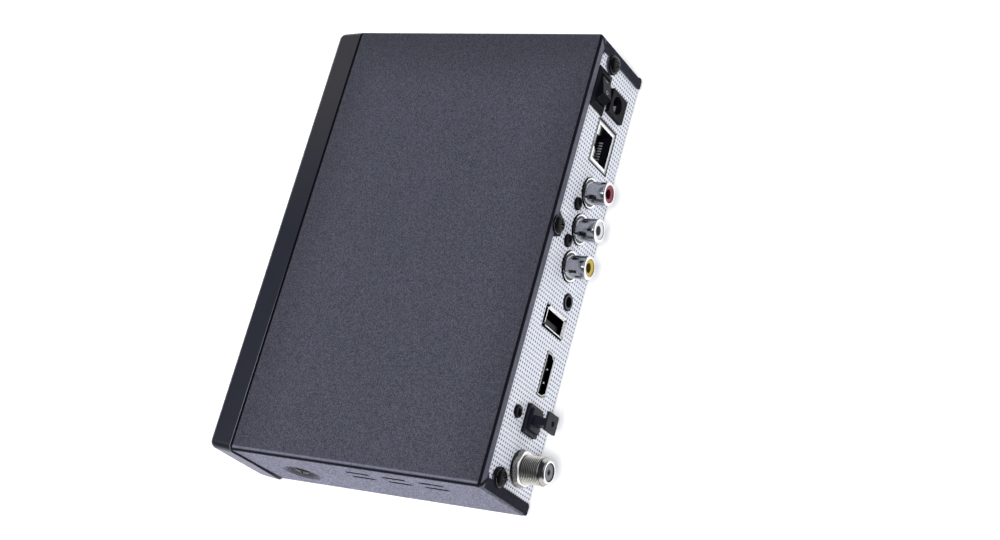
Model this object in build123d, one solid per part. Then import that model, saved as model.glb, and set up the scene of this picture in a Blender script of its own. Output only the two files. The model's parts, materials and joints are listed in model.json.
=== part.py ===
"""Satellite receiver in a folded steel case: the pieces, each written as its own STEP file.

Frame: +X across the case towards the aerial socket, +Y to the rear, +Z up, millimetres.
The origin is the middle of the box round the part, on the surface that the feet stand on.
"""
from build123d import *
import os
from math import atan2, cos, degrees, radians, sin, sqrt

# ---------------------------------------------------------------- driving dimensions
# Case
case_width = 160.6         # across the cover's sides
cover_depth = 99.3         # rear flange plane to the cover's front edge
cover_height = 32.4        # cover's lower edge to its top
body_depth = 111.0         # rear flange plane to the foremost line of the bezel
foot_height = 2.5
foot_radius = 5.0
foot_side_inset = 11.0     # foot's centre in from the case's side
foot_front_inset = 14.0    # foot's centre in from the cover's front edge
foot_rear_inset = 11.0
cover_drop = 1.6           # tray's underside below the cover's lower edge
sheet = 0.8                # steel of the cover and the tray
label_thick = 0.2
bend_radius = 1.2          # outside of the cover's folds
seam = 0.2                 # gap between the case's parts

# Cover: rear lip, flanges and tab
lip_height = 3.6
flange_width = 4.3
flange_tail = 1.2          # flange below the cover's side
tail_radius = 1.1
gusset = (1.9, 1.3)        # fillet piece between lip and flange: width, height
mitre_start = (0.8, 1.3)   # slit where lip and flange meet: outer end in from the side, down from the top
mitre_end = (3.1, 4.2)     # its inner end, where it closes
mitre_gaps = (0.15, 0.6)   # its width at the outer end, on the left and on the right
lobe_radius = 3.6
left_screw = (5.7, 20.3)   # in from the case's side, height above the cover's lower edge
right_screw = (6.3, 21.3)
tab_screw = (-11.3, 28.0)  # from the case's middle, height above the cover's lower edge
tab_top_width = 9.2
tab_low_width = 5.4
tab_drop = 4.4             # tab below the lip

# Cover: side slots and screw dimples
slot_length = 9.0
slot_height = 1.4
slot_pitch = 14.5
slot_columns = 3
slot_rear_inset = 22.5     # rearmost slot's middle, from the rear plane
slot_top_height = 24.5     # upper row above the cover's lower edge
slot_row_drop = 4.7
dimple_radius = 7.0
dimple_floor_radius = 4.2
dimple_depth = 1.5
dimple_rear_inset = 82.0
dimple_height = 13.0

# Tray
tray_wall_height = 18.4    # side walls above the tray's underside
tray_front_wall_height = 16.0
tray_front_gap = 0.3       # tray's front wall behind the cover's front edge
standoff_radius = 3.0
standoff_height = 3.2

# Bezel
bezel_wall = 2.0
bezel_lean = 1.4           # top front edge behind the foremost line
bezel_belly_height = 5.0   # foremost line above the cover's lower edge
bezel_gap = 0.6            # bezel's rear edge to the cover
bezel_heel = 1.7           # bezel's rear edge leans away from the cover by this at its foot
bezel_heel_height = 17.0   # height at which it begins to lean
bezel_skirt = 3.2          # bezel's bottom below the cover's lower edge
bezel_taper = 1.0          # each end narrows by this towards the front
bezel_flare = 0.6          # its rear edge stands out past the cover's sides by this
bezel_edge_radius = 2.6
chin_radius = 4.0
hook_width = 8.0
hook_thick = 1.4
hook_barb = 0.9
hook_side_inset = 28.0     # hook's middle in from the case's side

# Front window, display and buttons
window_width = 62.0
window_height = 13.0
window_thick = 1.5
window_ledge = 0.8
window_side_inset = 50.0   # window's middle in from the case's right side
window_middle_height = 15.0
button_radius = 3.6
button_flange = 0.7        # button's flange beyond its cap
button_flange_thick = 0.5
button_proud = 0.5
button_travel = 0.5
button_side_inset = 56.0   # power button in from the case's left side
button_pitch = 13.0
button_height = 15.0
front_board_side_gap = 12.0  # board's end in from the case's side
front_board_height = 21.0
front_board_thick = 1.2
front_board_gap = 7.5      # board's front face behind the bezel's foremost line
front_board_low = 3.4      # board's lower edge above the cover's lower edge
display_size = (30.2, 3.8, 11.0)
display_shift = -6.0       # from the window's middle
lamp_radius = 1.5
lamp_length = 4.0
lamp_shift = -26.0
infrared_size = (5.6, 3.0, 7.0)
infrared_lens_radius = 2.0
infrared_shift = 24.0
tact_size = (6.0, 2.0, 6.0)
tact_plunger_radius = 1.7
header_size = (26.0, 5.0, 4.0)
header_pin = 0.64
header_pin_pitch = 2.54
header_pins = 9
header_side_inset = 50.0   # header's middle in from the case's left side

# Main board and what stands on it
board_thick = 1.6
board_side_gap = 4.2       # board's edge to the tray's side wall
board_front_inset = 7.0    # board's front edge behind the cover's front edge
board_screw_side_inset = 6.0
board_screw_front_inset = 6.0
board_screw_rear_inset = 50.0
chip_size = (21.0, 21.0, 1.8)
chip_x = 4.0
chip_rear_inset = 52.0
sink_size = (28.0, 28.0, 2.0)
fin_height = 8.0
fin_thick = 1.2
fin_count = 8
memory_size = (8.0, 11.0, 1.2)
memory_x = (26.0, 38.0)
flash_size = (12.0, 18.0, 1.2)
flash_x = -20.0
can_sizes = ((12.0, 32.0, 4.0, 12.5), (24.0, 34.0, 4.0, 12.5), (34.0, 42.0, 3.1, 8.0),
             (18.0, 48.0, 3.1, 8.0), (44.0, 28.0, 2.5, 7.0))   # board's left edge, rear inset, radius, height
coil_size = (8.0, 8.0, 4.2)
coil_places = ((10.0, 58.0), (24.0, 60.0))                     # board's left edge, rear inset

# Rear sockets: the gaps between neighbours along the wall, and heights above the main board's top face
metal_socket_gap = 0.2             # added round a metal socket in the rear wall
row_gaps = (0.45, 4.55, 2.8, 3.25, 6.95, 4.5, 5.0, 2.6)   # the gaps share the room that the case leaves
lobe_clearance = 0.4               # cover's screw lobe to the switch's flange
power_shift = -0.1                 # power inlet's axis from the switch's
power_size = (8.8, 10.8)           # face of the power inlet: width, height
power_low = 1.5
power_proud = 1.4
power_depth = 11.0
power_bore_radius = 3.15
power_bore_depth = 9.5
power_bore_height = 7.6
power_pin_radius = 1.05
power_pin_length = 7.4
lan_size = (15.7, 17.0, 13.4)      # shield: width, depth, height
lan_low = 1.0                      # shield's lower edge above the board
lan_wall = 0.3
lan_recess = 0.3                   # shield's face behind the label's
lan_mouth = (12.2, 10.2)           # opening in the shield's face
lan_mouth_low = 1.2                # mouth's lower edge above the shield's
lan_cavity = (11.9, 7.3)
lan_cavity_depth = 13.5
lan_step = (6.4, 1.5)
lan_latch_width = 4.4
lan_lamp_size = (3.3, 1.4)
lan_pin = 0.4
lan_pin_pitch = 1.02
lan_pins = 8
lan_pin_rise = 1.7
lan_pin_inset = 2.6                # contacts' front ends behind the housing's face
phono_pitch = 13.5
phono_height = 8.2
phono_flange_radius = 5.3
phono_flange_thick = 0.5
phono_barrel_radius = 3.95
phono_wall = 0.35
phono_lip_radius = 3.1
phono_lip_thick = 0.4
phono_reach = 6.9                  # sleeve's end beyond the rear plane
phono_boss_proud = 0.15            # boss in front of the label's face
phono_hole_radius = 1.6
phono_slot = (2.9, 0.6)            # length, width
phono_slot_start = 1.4             # slot's start beyond the rear plane
phono_block = (10.6, 16.8)         # depth, height
phono_block_margin = 5.5           # block beyond its outer axes
phono_screw_shift = 6.6            # each screw's middle from the socket on its left
phono_screw_height = 14.1
serial_height = 3.4
serial_collar_radius = 2.9
serial_proud = 0.4
serial_bore_radius = 1.8
serial_bore_depth = 12.0
serial_body = (6.6, 13.0, 6.6)
usb_height = 8.4
usb_mouth = (5.3, 12.4)
usb_wall = 0.35
usb_depth = 14.0
usb_lip = 0.95                     # flare of each lip
usb_lip_depth = 0.9
usb_tongue = (1.9, 11.0)
usb_tongue_gap = 0.7               # tongue to the shell's wall
usb_tongue_recess = 1.6
video_low = 1.9
video_mouth = (14.0, 4.6)
video_wall = 0.4
video_chamfer = (1.3, 2.0)
video_depth = 12.0
video_tongue = (11.6, 1.4)
video_tongue_recess = 1.2
optical_size = (9.6, 11.5, 11.0)   # body: width, depth behind the wall, height
optical_face_height = 8.6
optical_proud = 0.5
optical_cavity = (7.4, 6.8)
optical_cavity_depth = 8.0
optical_ear = (7.0, 2.6)           # screw ear: width, thickness
optical_screw_height = 16.4
plug_flange_thick = 0.8
plug_block = (7.2, 6.6, 1.0)       # width, height, thickness
plug_stem_depth = 6.0
plug_neck_base = (3.2, 4.0)
plug_neck_end = (2.2, 1.8)
plug_tab = (6.3, 7.0, 0.85)
plug_tab_reach = 7.3               # tab's face beyond the rear plane
plug_tab_corner = 0.55
plug_tab_hole = 0.95               # radius
plug_tab_hole_drop = 0.5           # below the tab's middle
plug_tab_hole_depth = 0.6
aerial_height = 5.8
aerial_radius = 4.7625             # three-eighths inch thread
aerial_root = 4.35                 # thread's root, which the nut's bore follows
aerial_run_out = 0.35              # nut's face to the full thread
aerial_reach = 10.6                # beyond the rear plane, the rearmost point
aerial_nose = (3.8, 0.7)           # radius, length of the narrow end ring
aerial_mouth_radius = 3.1
aerial_bore_radius = 3.4
aerial_lip = 0.4
aerial_pin_radius = 0.5
aerial_pin_recess = 2.4
aerial_washer = (6.2, 0.4)         # radius, thickness
aerial_nut = (11.0, 2.4)           # across flats, thickness
tuner_size = (13.2, 42.0, 11.8)
tuner_wall = 0.5

# Power rocker
switch_height = 19.1               # middle above the main board's top face
switch_flange = (14.6, 9.7)
switch_flange_edge = 0.6
switch_rim = 1.2
switch_rim_inset = 1.7
switch_mouth = (10.3, 6.5)
switch_wall = 0.7
switch_body_depth = 11.0
switch_cavity_depth = 7.5
rocker_radius = 5.0                # reach of the rocker's ends about its pivot
rocker_width = 6.1
rocker_pivot_depth = 1.15          # pivot behind the label's face
rocker_top = 3.8                   # pivot to the rocker's flat top
rocker_tilt = 16.0
rocker_belly = 3.2
rocker_pin_radius = 0.8
rocker_pin_length = 0.5
terminal_size = (0.5, 6.0, 2.8)
terminal_pitch = 7.0
wire_radius = 0.65

# Screws
cover_screw_radius = 1.4
cover_screw_head = (2.7, 1.3)      # radius, height
cover_screw_washer = (3.4, 0.5)
cover_screw_length = 6.0
small_screw_radius = 1.15
small_screw_head = (2.3, 1.1)
small_screw_length = 6.0
board_screw_radius = 1.4
board_screw_head = (2.9, 1.7)
board_screw_length = 4.0
cross_slot = (0.55, 2.6, 0.7)      # width, length, depth of a driver cross

# Clearances
slack = 0.05                       # round a fixed piece in its hole
hole_slack = 0.3                   # round a screw or socket in sheet steel
slide_slack = 0.15                 # round a piece that slides
pin_slack = 0.05                   # round a turning pin
cut_over = 1.0                     # a cutter's run past the face it cuts

# ---------------------------------------------------------------- places worked out from them
half_width = case_width / 2
overall_depth = body_depth + aerial_reach
rear_y = overall_depth / 2 - aerial_reach          # outer face of the cover's rear flanges
front_y = -overall_depth / 2                       # foremost line of the bezel
cover_front_y = rear_y - cover_depth
label_y = rear_y - sheet                           # label's outer face
wall_y = label_y - label_thick                     # rear wall's outer face
wall_inner_y = wall_y - sheet
tray_z = foot_height
floor_z = tray_z + sheet
cover_low_z = tray_z + cover_drop
cover_top_z = cover_low_z + cover_height
lip_low_z = cover_top_z - lip_height
wall_top_z = cover_top_z - sheet - seam
board_low_z = floor_z + standoff_height
board_z = board_low_z + board_thick                # main board's top face
tray_half = half_width - sheet - seam              # outer face of the tray's sides
tray_front_y = cover_front_y + tray_front_gap
bezel_rear_y = cover_front_y - bezel_gap
bezel_half = half_width + bezel_flare
belly_z = cover_low_z + bezel_belly_height
lean_run = cover_top_z - belly_z
lean_angle = degrees(atan2(bezel_lean, lean_run))
front_board_y = front_y + front_board_gap          # front board's front face
front_board_half = half_width - front_board_side_gap
window_x = half_width - window_side_inset
window_z = cover_low_z + window_middle_height
display_x = window_x + display_shift
lamp_x = window_x + lamp_shift
infrared_x = window_x + infrared_shift
button_z = cover_low_z + button_height
button_x = [button_side_inset - half_width - n * button_pitch for n in range(3)]
header_x = header_side_inset - half_width
hook_x = half_width - hook_side_inset
board_half = tray_half - sheet - board_side_gap
phono_z = board_z + phono_height
lan_z = board_z + lan_low                          # shield's lower edge
aerial_z = board_z + aerial_height
serial_z = board_z + serial_height
usb_z = board_z + usb_height
power_z = board_z + power_bore_height
optical_z = board_z + optical_size[2] - optical_face_height / 2
switch_z = board_z + switch_height
board_rear_y = wall_inner_y - seam
pivot_y = label_y - rocker_pivot_depth

# The sockets' row along the rear wall, from the left screw's lobe to the right flange
row_widths = (switch_flange[0], lan_size[0], 2 * (phono_flange_radius + phono_pitch),
              2 * serial_collar_radius, usb_mouth[0] + 2 * usb_wall, video_mouth[0] + 2 * video_wall,
              optical_size[0], 2 * aerial_washer[0])
row_start = left_screw[0] - half_width + lobe_radius + lobe_clearance
row_room = half_width - flange_width - row_start - sum(row_widths)
row_x = []
row_place = row_start
for width, gap in zip(row_widths, row_gaps):
    row_x.append(row_place + width / 2)
    row_place += width + row_room * gap / sum(row_gaps)
switch_x, lan_x, phono_middle_x, serial_x, usb_x, video_x, optical_x, aerial_x = row_x
power_x = switch_x + power_shift
phono_x = [phono_middle_x - phono_pitch, phono_middle_x, phono_middle_x + phono_pitch]


# ---------------------------------------------------------------- helpers
def block(x0, x1, y0, y1, z0, z1):
    """A box between two corners."""
    middle = ((x0 + x1) / 2, (y0 + y1) / 2, (z0 + z1) / 2)
    return Pos(*middle) * Box(abs(x1 - x0), abs(y1 - y0), abs(z1 - z0))


def rod(x, y0, y1, z, radius):
    """A cylinder along Y between two depths."""
    return Pos(x, (y0 + y1) / 2, z) * Rot(90, 0, 0) * Cylinder(radius, abs(y1 - y0))


def post(x, y, z0, z1, radius):
    """A standing cylinder."""
    return Pos(x, y, (z0 + z1) / 2) * Cylinder(radius, abs(z1 - z0))


def face_box(x, z, width, height, y0, y1):
    """A box along Y with its face centred on x, z."""
    return block(x - width / 2, x + width / 2, y0, y1, z - height / 2, z + height / 2)


def bezel_front(z):
    """Depth of the bezel's leaning face at a height."""
    return front_y + (z - belly_z) * bezel_lean / lean_run


def side_prism(points, x0, x1):
    """A prism along X from (y, z) points."""
    outline = make_face(Polyline([(0, y, z) for y, z in points], close=True))
    return Pos(x0, 0, 0) * extrude(outline, x1 - x0, dir=(1, 0, 0))


def rear_prism(points, y0, y1):
    """A prism along Y from (x, z) points."""
    outline = make_face(Polyline([(x, 0, z) for x, z in points], close=True))
    return Pos(0, y0, 0) * extrude(outline, y1 - y0, dir=(0, 1, 0))


def pan_screw(radius, head, length, washer=None):
    """A pan-head screw pointing down -Z, its bearing face at Z = 0, with a driver cross."""
    head_radius, head_height = head
    rise = washer[1] if washer else 0
    cap = Pos(0, 0, rise + head_height / 2) * Cylinder(head_radius, head_height)
    cap = fillet(cap.edges().sort_by(Axis.Z)[-1], head_height / 2)
    screw = cap + Pos(0, 0, (rise - length) / 2) * Cylinder(radius, rise + length)
    if washer:
        screw += Pos(0, 0, rise / 2) * Cylinder(washer[0], rise)
    width, reach, depth = cross_slot
    for turn in (0, 90):
        screw -= Pos(0, 0, rise + head_height - depth / 2) * Rot(0, 0, turn) * Box(reach, width, depth)
    return screw


rearward = Rot(-90, 0, 0)          # turns a screw's head towards +Y


def many(pieces):
    """Separate solids in one node."""
    return Compound(children=list(pieces))


# ---------------------------------------------------------------- case
def cover_screw_points():
    """Middles of the cover's rear screws as (x, z)."""
    places = ((left_screw[0] - half_width, left_screw[1]), (half_width - right_screw[0], right_screw[1]),
              tab_screw)
    return [(x, cover_low_z + height) for x, height in places]


def side_screw_y():
    return rear_y - dimple_rear_inset


def top_cover():
    """Top and sides folded from one sheet, with a rear lip, flanges and a screw tab."""
    outer = block(-half_width, half_width, cover_front_y, rear_y, cover_low_z, cover_top_z)
    long_edges = outer.edges().filter_by(Axis.Y).group_by(Axis.Z)[-1]
    rear_edges = outer.edges().group_by(Axis.Y)[-1]
    rear_edges = [e for e in rear_edges if e.center().Z > cover_low_z + sheet]
    outer = fillet(list(long_edges) + rear_edges, bend_radius)
    inner_half = half_width - sheet
    inner = block(-inner_half, inner_half, cover_front_y - cut_over, label_y,
                  cover_low_z - cut_over, cover_top_z - sheet)
    cover = outer - inner
    flange_half = half_width - flange_width
    tail_z = cover_low_z - flange_tail
    for side in (-1, 1):
        tail = block(side * flange_half, side * (half_width - seam), label_y, rear_y,
                     tail_z, cover_low_z + sheet)
        cover += fillet(tail.edges().filter_by(Axis.Y).group_by(Axis.Z)[0], tail_radius)
    window = block(-flange_half, flange_half, label_y - sheet, rear_y + cut_over,
                   tail_z - cut_over, lip_low_z)
    for x, z in cover_screw_points()[:2]:
        window -= rod(x, label_y - sheet, rear_y + cut_over, z, lobe_radius)
    tab_z = lip_low_z - tab_drop
    tab_x = tab_screw[0]
    window -= rear_prism([(tab_x - tab_top_width / 2, lip_low_z + cut_over),
                          (tab_x - tab_top_width / 2, lip_low_z),
                          (tab_x - tab_low_width / 2, tab_z),
                          (tab_x + tab_low_width / 2, tab_z),
                          (tab_x + tab_top_width / 2, lip_low_z),
                          (tab_x + tab_top_width / 2, lip_low_z + cut_over)],
                         label_y - sheet, rear_y + cut_over)
    for side in (-1, 1):
        window -= rear_prism([(side * flange_half, lip_low_z), (side * (flange_half - gusset[0]), lip_low_z),
                              (side * flange_half, lip_low_z - gusset[1])],
                             label_y - sheet, rear_y + cut_over)
    cover -= window
    for side, gap in zip((-1, 1), mitre_gaps):
        run_x, run_z = mitre_end[0] - mitre_start[0], mitre_end[1] - mitre_start[1]
        wide = gap / 2 / sqrt(run_x ** 2 + run_z ** 2)
        x0, z0 = half_width - mitre_start[0], cover_top_z - mitre_start[1]
        cover -= rear_prism([(side * (x0 - run_z * wide), z0 + run_x * wide),
                             (side * (x0 + run_z * wide), z0 - run_x * wide),
                             (side * (half_width - mitre_end[0]), cover_top_z - mitre_end[1])],
                            label_y - slack, rear_y + cut_over)
    for x, z in cover_screw_points():
        cover -= rod(x, label_y - sheet, rear_y + cut_over, z, cover_screw_radius + hole_slack)
    for side in (-1, 1):
        cover = add_dimple(cover, side, half_width, dimple_depth)
        for column in range(slot_columns):
            y = rear_y - slot_rear_inset - column * slot_pitch
            for row in range(2):
                z = cover_low_z + slot_top_height - row * slot_row_drop
                wall = Plane(origin=(side * half_width, y, z), x_dir=(0, 1, 0), z_dir=(1, 0, 0))
                cover -= extrude(wall * SlotOverall(slot_length, slot_height), 2 * sheet, both=True)
    return cover


def dimple_shift(depth):
    """How much wider a dimple is on the inside of the sheet than on the outside."""
    slope = (dimple_radius - dimple_floor_radius) / depth
    return sheet * (sqrt(1 + slope ** 2) - slope)


def add_dimple(part, side, face_x, depth, grow=0):
    """Dish an upright sheet wall inwards round a side screw's hole."""
    hole = cover_screw_radius + hole_slack
    outer = dimple_radius + grow
    floor = dimple_floor_radius + grow
    shift = dimple_shift(depth)
    rim = outer + shift + sheet
    outline = make_face(Polyline([
        (hole, 0, -depth), (floor, 0, -depth), (outer, 0, 0), (rim, 0, 0), (rim, 0, -sheet),
        (outer + shift, 0, -sheet), (floor + shift, 0, -depth - sheet), (hole, 0, -depth - sheet)],
        close=True))
    place = Pos(side * face_x, side_screw_y(), cover_low_z + dimple_height) * Rot(0, side * 90, 0)
    opening = Cylinder((outer + shift + rim) / 2, 4 * sheet)
    return part - place * opening + place * revolve(outline, Axis.Z)


def rear_cutters(y0, y1, grow):
    """Holes through the rear wall for every socket, the switch and the screws."""
    cuts = [face_box(power_x, board_z + power_low + power_size[1] / 2,
                     power_size[0] + 2 * grow, power_size[1] + 2 * grow, y0, y1)]
    wide = grow + metal_socket_gap
    cuts.append(face_box(lan_x, lan_z + lan_size[2] / 2, lan_size[0] + 2 * wide,
                         lan_size[2] + 2 * wide, y0, y1))
    for x in phono_x:
        cuts.append(rod(x, y0, y1, phono_z, phono_flange_radius + grow))
    cuts.append(rod(serial_x, y0, y1, serial_z, serial_collar_radius + grow))
    usb_outer = [size + 2 * (usb_lip + wide) for size in usb_mouth]
    cuts.append(face_box(usb_x, usb_z, usb_outer[0], usb_outer[1], y0, y1))
    cuts.append(rear_prism(video_outline(video_wall + wide), y0, y1))
    cuts.append(face_box(optical_x, optical_z, optical_size[0] + 2 * grow,
                         optical_face_height + 2 * grow, y0, y1))
    cuts.append(rod(aerial_x, y0, y1, aerial_z, aerial_radius + grow))
    body = [size + 2 * (switch_wall + grow) for size in switch_mouth]
    cuts.append(face_box(switch_x, switch_z, body[0], body[1], y0, y1))
    for x, z in connector_screw_points():
        cuts.append(rod(x, y0, y1, z, small_screw_radius + grow))
    for x, z in cover_screw_points():
        cuts.append(rod(x, y0, y1, z, cover_screw_radius + grow))
    return cuts


def connector_screw_points():
    """Middles of the screws that hold the sockets to the rear wall, as (x, z)."""
    places = [(x + phono_screw_shift, board_z + phono_screw_height) for x in phono_x[:2]]
    return places + [(optical_x, board_z + optical_screw_height)]


def board_screw_places():
    """Middles of the main board's screws as (x, y)."""
    front = cover_front_y + board_front_inset + board_screw_front_inset
    rear = rear_y - board_screw_rear_inset
    reach = board_half - board_screw_side_inset
    return [(x, y) for x in (-reach, reach) for y in (front, rear)]


def tray():
    """Floor, rear wall, side walls and front wall folded up from one sheet."""
    tray_top = tray_z + tray_wall_height
    part = block(-tray_half, tray_half, tray_front_y, wall_y, tray_z, floor_z)
    part += block(-tray_half, tray_half, wall_inner_y, wall_y, tray_z, wall_top_z)
    for side in (-1, 1):
        part += block(side * (tray_half - sheet), side * tray_half, tray_front_y, wall_inner_y,
                      tray_z, tray_top)
    part += block(-tray_half, tray_half, tray_front_y, tray_front_y + sheet,
                  tray_z, tray_z + tray_front_wall_height)
    for x, y in board_screw_places():
        part += post(x, y, floor_z, board_low_z, standoff_radius)
        part -= post(x, y, floor_z + sheet / 2, board_low_z + cut_over, board_screw_radius + slack)
    for side in (-1, 1):
        part = add_dimple(part, side, tray_half, dimple_depth - seam, dimple_shift(dimple_depth) + seam)
        part -= face_box(side * hook_x, hook_z(), hook_width + 2 * seam,
                         hook_thick + 2 * hook_barb + seam, tray_front_y - cut_over,
                         tray_front_y + sheet + cut_over)
    part -= face_box(header_x, board_z + header_size[2] / 2, header_size[0] + 2 * seam,
                     header_size[2] + 2 * seam, tray_front_y - cut_over, tray_front_y + sheet + cut_over)
    for cut in rear_cutters(wall_inner_y - cut_over, wall_y + cut_over, hole_slack / 2):
        part -= cut
    return part


def rear_label():
    """Printed foil over the rear wall, between the cover's flanges and the wall."""
    edge = tray_half - seam
    foil = block(-edge, edge, wall_y, label_y, tray_z, wall_top_z - seam)
    for cut in rear_cutters(wall_y - cut_over, label_y + cut_over, hole_slack):
        foil -= cut
    return foil


def rubber_feet():
    """Four stick-on feet."""
    feet = []
    for side in (-1, 1):
        for y in (cover_front_y + foot_front_inset, rear_y - foot_rear_inset):
            foot = post(side * (half_width - foot_side_inset), y, 0, tray_z, foot_radius)
            feet.append(chamfer(foot.edges().sort_by(Axis.Z)[0], foot_height / 4))
    return many(feet)


def rear_cover_screws():
    """Washer-head screws through the rear flanges and the tab."""
    screw = pan_screw(cover_screw_radius, cover_screw_head, cover_screw_length, cover_screw_washer)
    return many(Pos(x, rear_y, z) * rearward * screw for x, z in cover_screw_points())


def side_cover_screws():
    """Screws that sit in the side dimples."""
    screw = pan_screw(cover_screw_radius, (cover_screw_head[0], dimple_depth - seam), cover_screw_length)
    floor_x = half_width - dimple_depth
    return many(Pos(side * floor_x, side_screw_y(), cover_low_z + dimple_height)
                * Rot(0, side * 90, 0) * screw for side in (-1, 1))


# ---------------------------------------------------------------- bezel and front panel parts
def hook_z():
    """Middle height of the bezel's snap hooks."""
    return floor_z + hook_barb + hook_thick


def bezel_shell(inset):
    """The bezel's solid form, shrunk by an inset on every side but the rear."""
    bottom = cover_low_z - bezel_skirt + inset
    top = cover_top_z - inset
    reach = inset / cos(radians(lean_angle))
    chin = max(chin_radius - inset, bezel_edge_radius)
    rear = bezel_rear_y + (cut_over if inset else 0)
    profile = side_prism([(rear, top), (bezel_front(top) + reach, top), (front_y + reach, belly_z),
                          (front_y + reach, bottom + chin), (front_y + reach, bottom),
                          (rear, bottom)], -bezel_half, bezel_half)
    chin_edge = profile.edges().filter_by(Axis.X).sort_by(Axis.Z)[:2].sort_by(Axis.Y)[0]
    profile = fillet(chin_edge, chin)
    run = bezel_rear_y - front_y
    slope = bezel_taper / run
    near = bezel_half - inset - slope * (bezel_rear_y - rear)
    far = bezel_half - inset - bezel_taper
    plan = make_face(Polyline([(-near, rear, 0), (near, rear, 0), (far, front_y, 0), (-far, front_y, 0)],
                              close=True))
    solid = profile & (Pos(0, 0, -cut_over) * extrude(plan, cover_top_z + 2 * cut_over))
    if not inset:
        ends = solid.edges().filter_by(lambda e: abs(e.center().X) > bezel_half - 2 * bezel_taper)
        rims = [e for e in ends if e.center().Y < bezel_rear_y - seam]
        crest = [e for e in solid.edges().filter_by(Axis.X)
                 if e.center().Z > cover_top_z - seam and e.center().Y < bezel_rear_y - seam]
        solid = fillet(rims + crest, bezel_edge_radius)
    return solid


def front_plane(x, z):
    """Plane on the bezel's leaning face, its normal pointing out."""
    tilt = radians(lean_angle)
    return Plane(origin=(x, bezel_front(z), z), x_dir=(1, 0, 0), z_dir=(0, -cos(tilt), sin(tilt)))


def front_board_screw_places():
    """Middles of the front board's screws as (x, z)."""
    margin = 4 * small_screw_radius
    z = cover_low_z + front_board_low + front_board_height - margin
    reach = front_board_half - margin
    return [(-reach, z), (reach, z)]


def front_bezel():
    """Moulded front with side lips, window seat, button holes, board bosses and snap hooks."""
    part = bezel_shell(0) - bezel_shell(bezel_wall)
    heel_z = cover_low_z + bezel_heel_height
    foot_z = cover_low_z - bezel_skirt
    for side in (-1, 1):
        x0, x1 = sorted((side * (bezel_half - bezel_wall), side * (bezel_half + cut_over)))
        part -= side_prism([(bezel_rear_y, heel_z), (bezel_rear_y - bezel_heel, foot_z),
                            (bezel_rear_y - bezel_heel, foot_z - cut_over),
                            (bezel_rear_y + cut_over, foot_z - cut_over),
                            (bezel_rear_y + cut_over, heel_z)], x0, x1)
        part += block(side * (half_width - bezel_wall + seam), side * (half_width - seam),
                      bezel_rear_y - bezel_wall / 2, cover_front_y - slack, heel_z,
                      cover_top_z - bezel_wall / 2)
    plane = front_plane(window_x, window_z)
    part -= plane * Box(window_width, window_height, 2 * window_thick)
    part -= plane * Box(window_width - 2 * window_ledge, window_height - 2 * window_ledge, 4 * bezel_wall)
    for x in button_x:
        part -= rod(x, front_y - cut_over, front_y + 3 * bezel_wall, button_z, button_radius + slide_slack)
    for x, z in front_board_screw_places():
        boss = rod(x, bezel_front(z) + bezel_wall / 2, front_board_y, z, 2 * small_screw_radius)
        part += boss - rod(x, front_board_y - small_screw_length / 2, front_board_y + cut_over, z,
                           small_screw_radius + slack)
    barb_y = tray_front_y + sheet + seam
    for side in (-1, 1):
        arm = face_box(side * hook_x, hook_z(), hook_width, hook_thick,
                       front_y + bezel_wall / 2, barb_y + 2 * hook_barb)
        arm += side_prism([(barb_y, hook_z() + hook_thick / 2), (barb_y, hook_z() + hook_thick / 2 + hook_barb),
                           (barb_y + 2 * hook_barb, hook_z() + hook_thick / 2)],
                          side * hook_x - hook_width / 2, side * hook_x + hook_width / 2)
        part += arm
    return part


def front_window():
    """Smoked plate in the bezel's window seat."""
    plane = front_plane(window_x, window_z)
    plate = Box(window_width - 2 * slack, window_height - 2 * slack, window_thick)
    return plane * Pos(0, 0, -window_thick / 2) * plate


def button_back_y():
    """Rear face of a button's flange, which rests behind the leaning bezel."""
    reach = bezel_wall / cos(radians(lean_angle))
    return bezel_front(button_z + button_radius + button_flange) + reach + seam / 2 + button_flange_thick


def front_button(x):
    """Round cap with a flange that keeps it behind the bezel."""
    tip_y = bezel_front(button_z) - button_proud
    cap = rod(x, tip_y, button_back_y(), button_z, button_radius)
    cap = fillet(cap.edges().sort_by(Axis.Y)[0], button_proud)
    return cap + rod(x, button_back_y() - button_flange_thick, button_back_y(), button_z,
                     button_radius + button_flange)


def front_board():
    """Circuit board behind the bezel."""
    low = cover_low_z + front_board_low
    board = block(-front_board_half, front_board_half, front_board_y, front_board_y + front_board_thick,
                  low, low + front_board_height)
    for x, z in front_board_screw_places():
        board -= rod(x, front_board_y - cut_over, front_board_y + cut_over + front_board_thick, z,
                     small_screw_radius + hole_slack)
    return board


def front_board_screws():
    """Screws from behind the front board into the bezel's bosses."""
    screw = pan_screw(small_screw_radius, small_screw_head, small_screw_length / 2)
    return many(Pos(x, front_board_y + front_board_thick, z) * rearward * screw
                for x, z in front_board_screw_places())


def display_module():
    """Four-digit display block on the front board."""
    width, depth, height = display_size
    return face_box(display_x, window_z, width, height, front_board_y - depth, front_board_y)


def standby_lamp():
    """Round lamp on the front board."""
    lamp = rod(lamp_x, front_board_y - lamp_length, front_board_y, window_z, lamp_radius)
    return fillet(lamp.edges().sort_by(Axis.Y)[0], lamp_radius / 2)


def infrared_receiver():
    """Remote-control eye on the front board."""
    width, depth, height = infrared_size
    body = face_box(infrared_x, window_z, width, height, front_board_y - depth, front_board_y)
    return body + rod(infrared_x, front_board_y - depth - lamp_radius / 2, front_board_y - depth,
                      window_z, infrared_lens_radius)


def tact_switches():
    """One small push switch behind each button, its plunger just past the button's travel."""
    width, depth, height = tact_size
    tip_y = button_back_y() + button_travel + slide_slack
    switches = []
    for x in button_x:
        body = face_box(x, button_z, width, height, front_board_y - depth, front_board_y)
        switches.append(body + rod(x, tip_y, front_board_y - depth, button_z, tact_plunger_radius))
    return many(switches)


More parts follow.
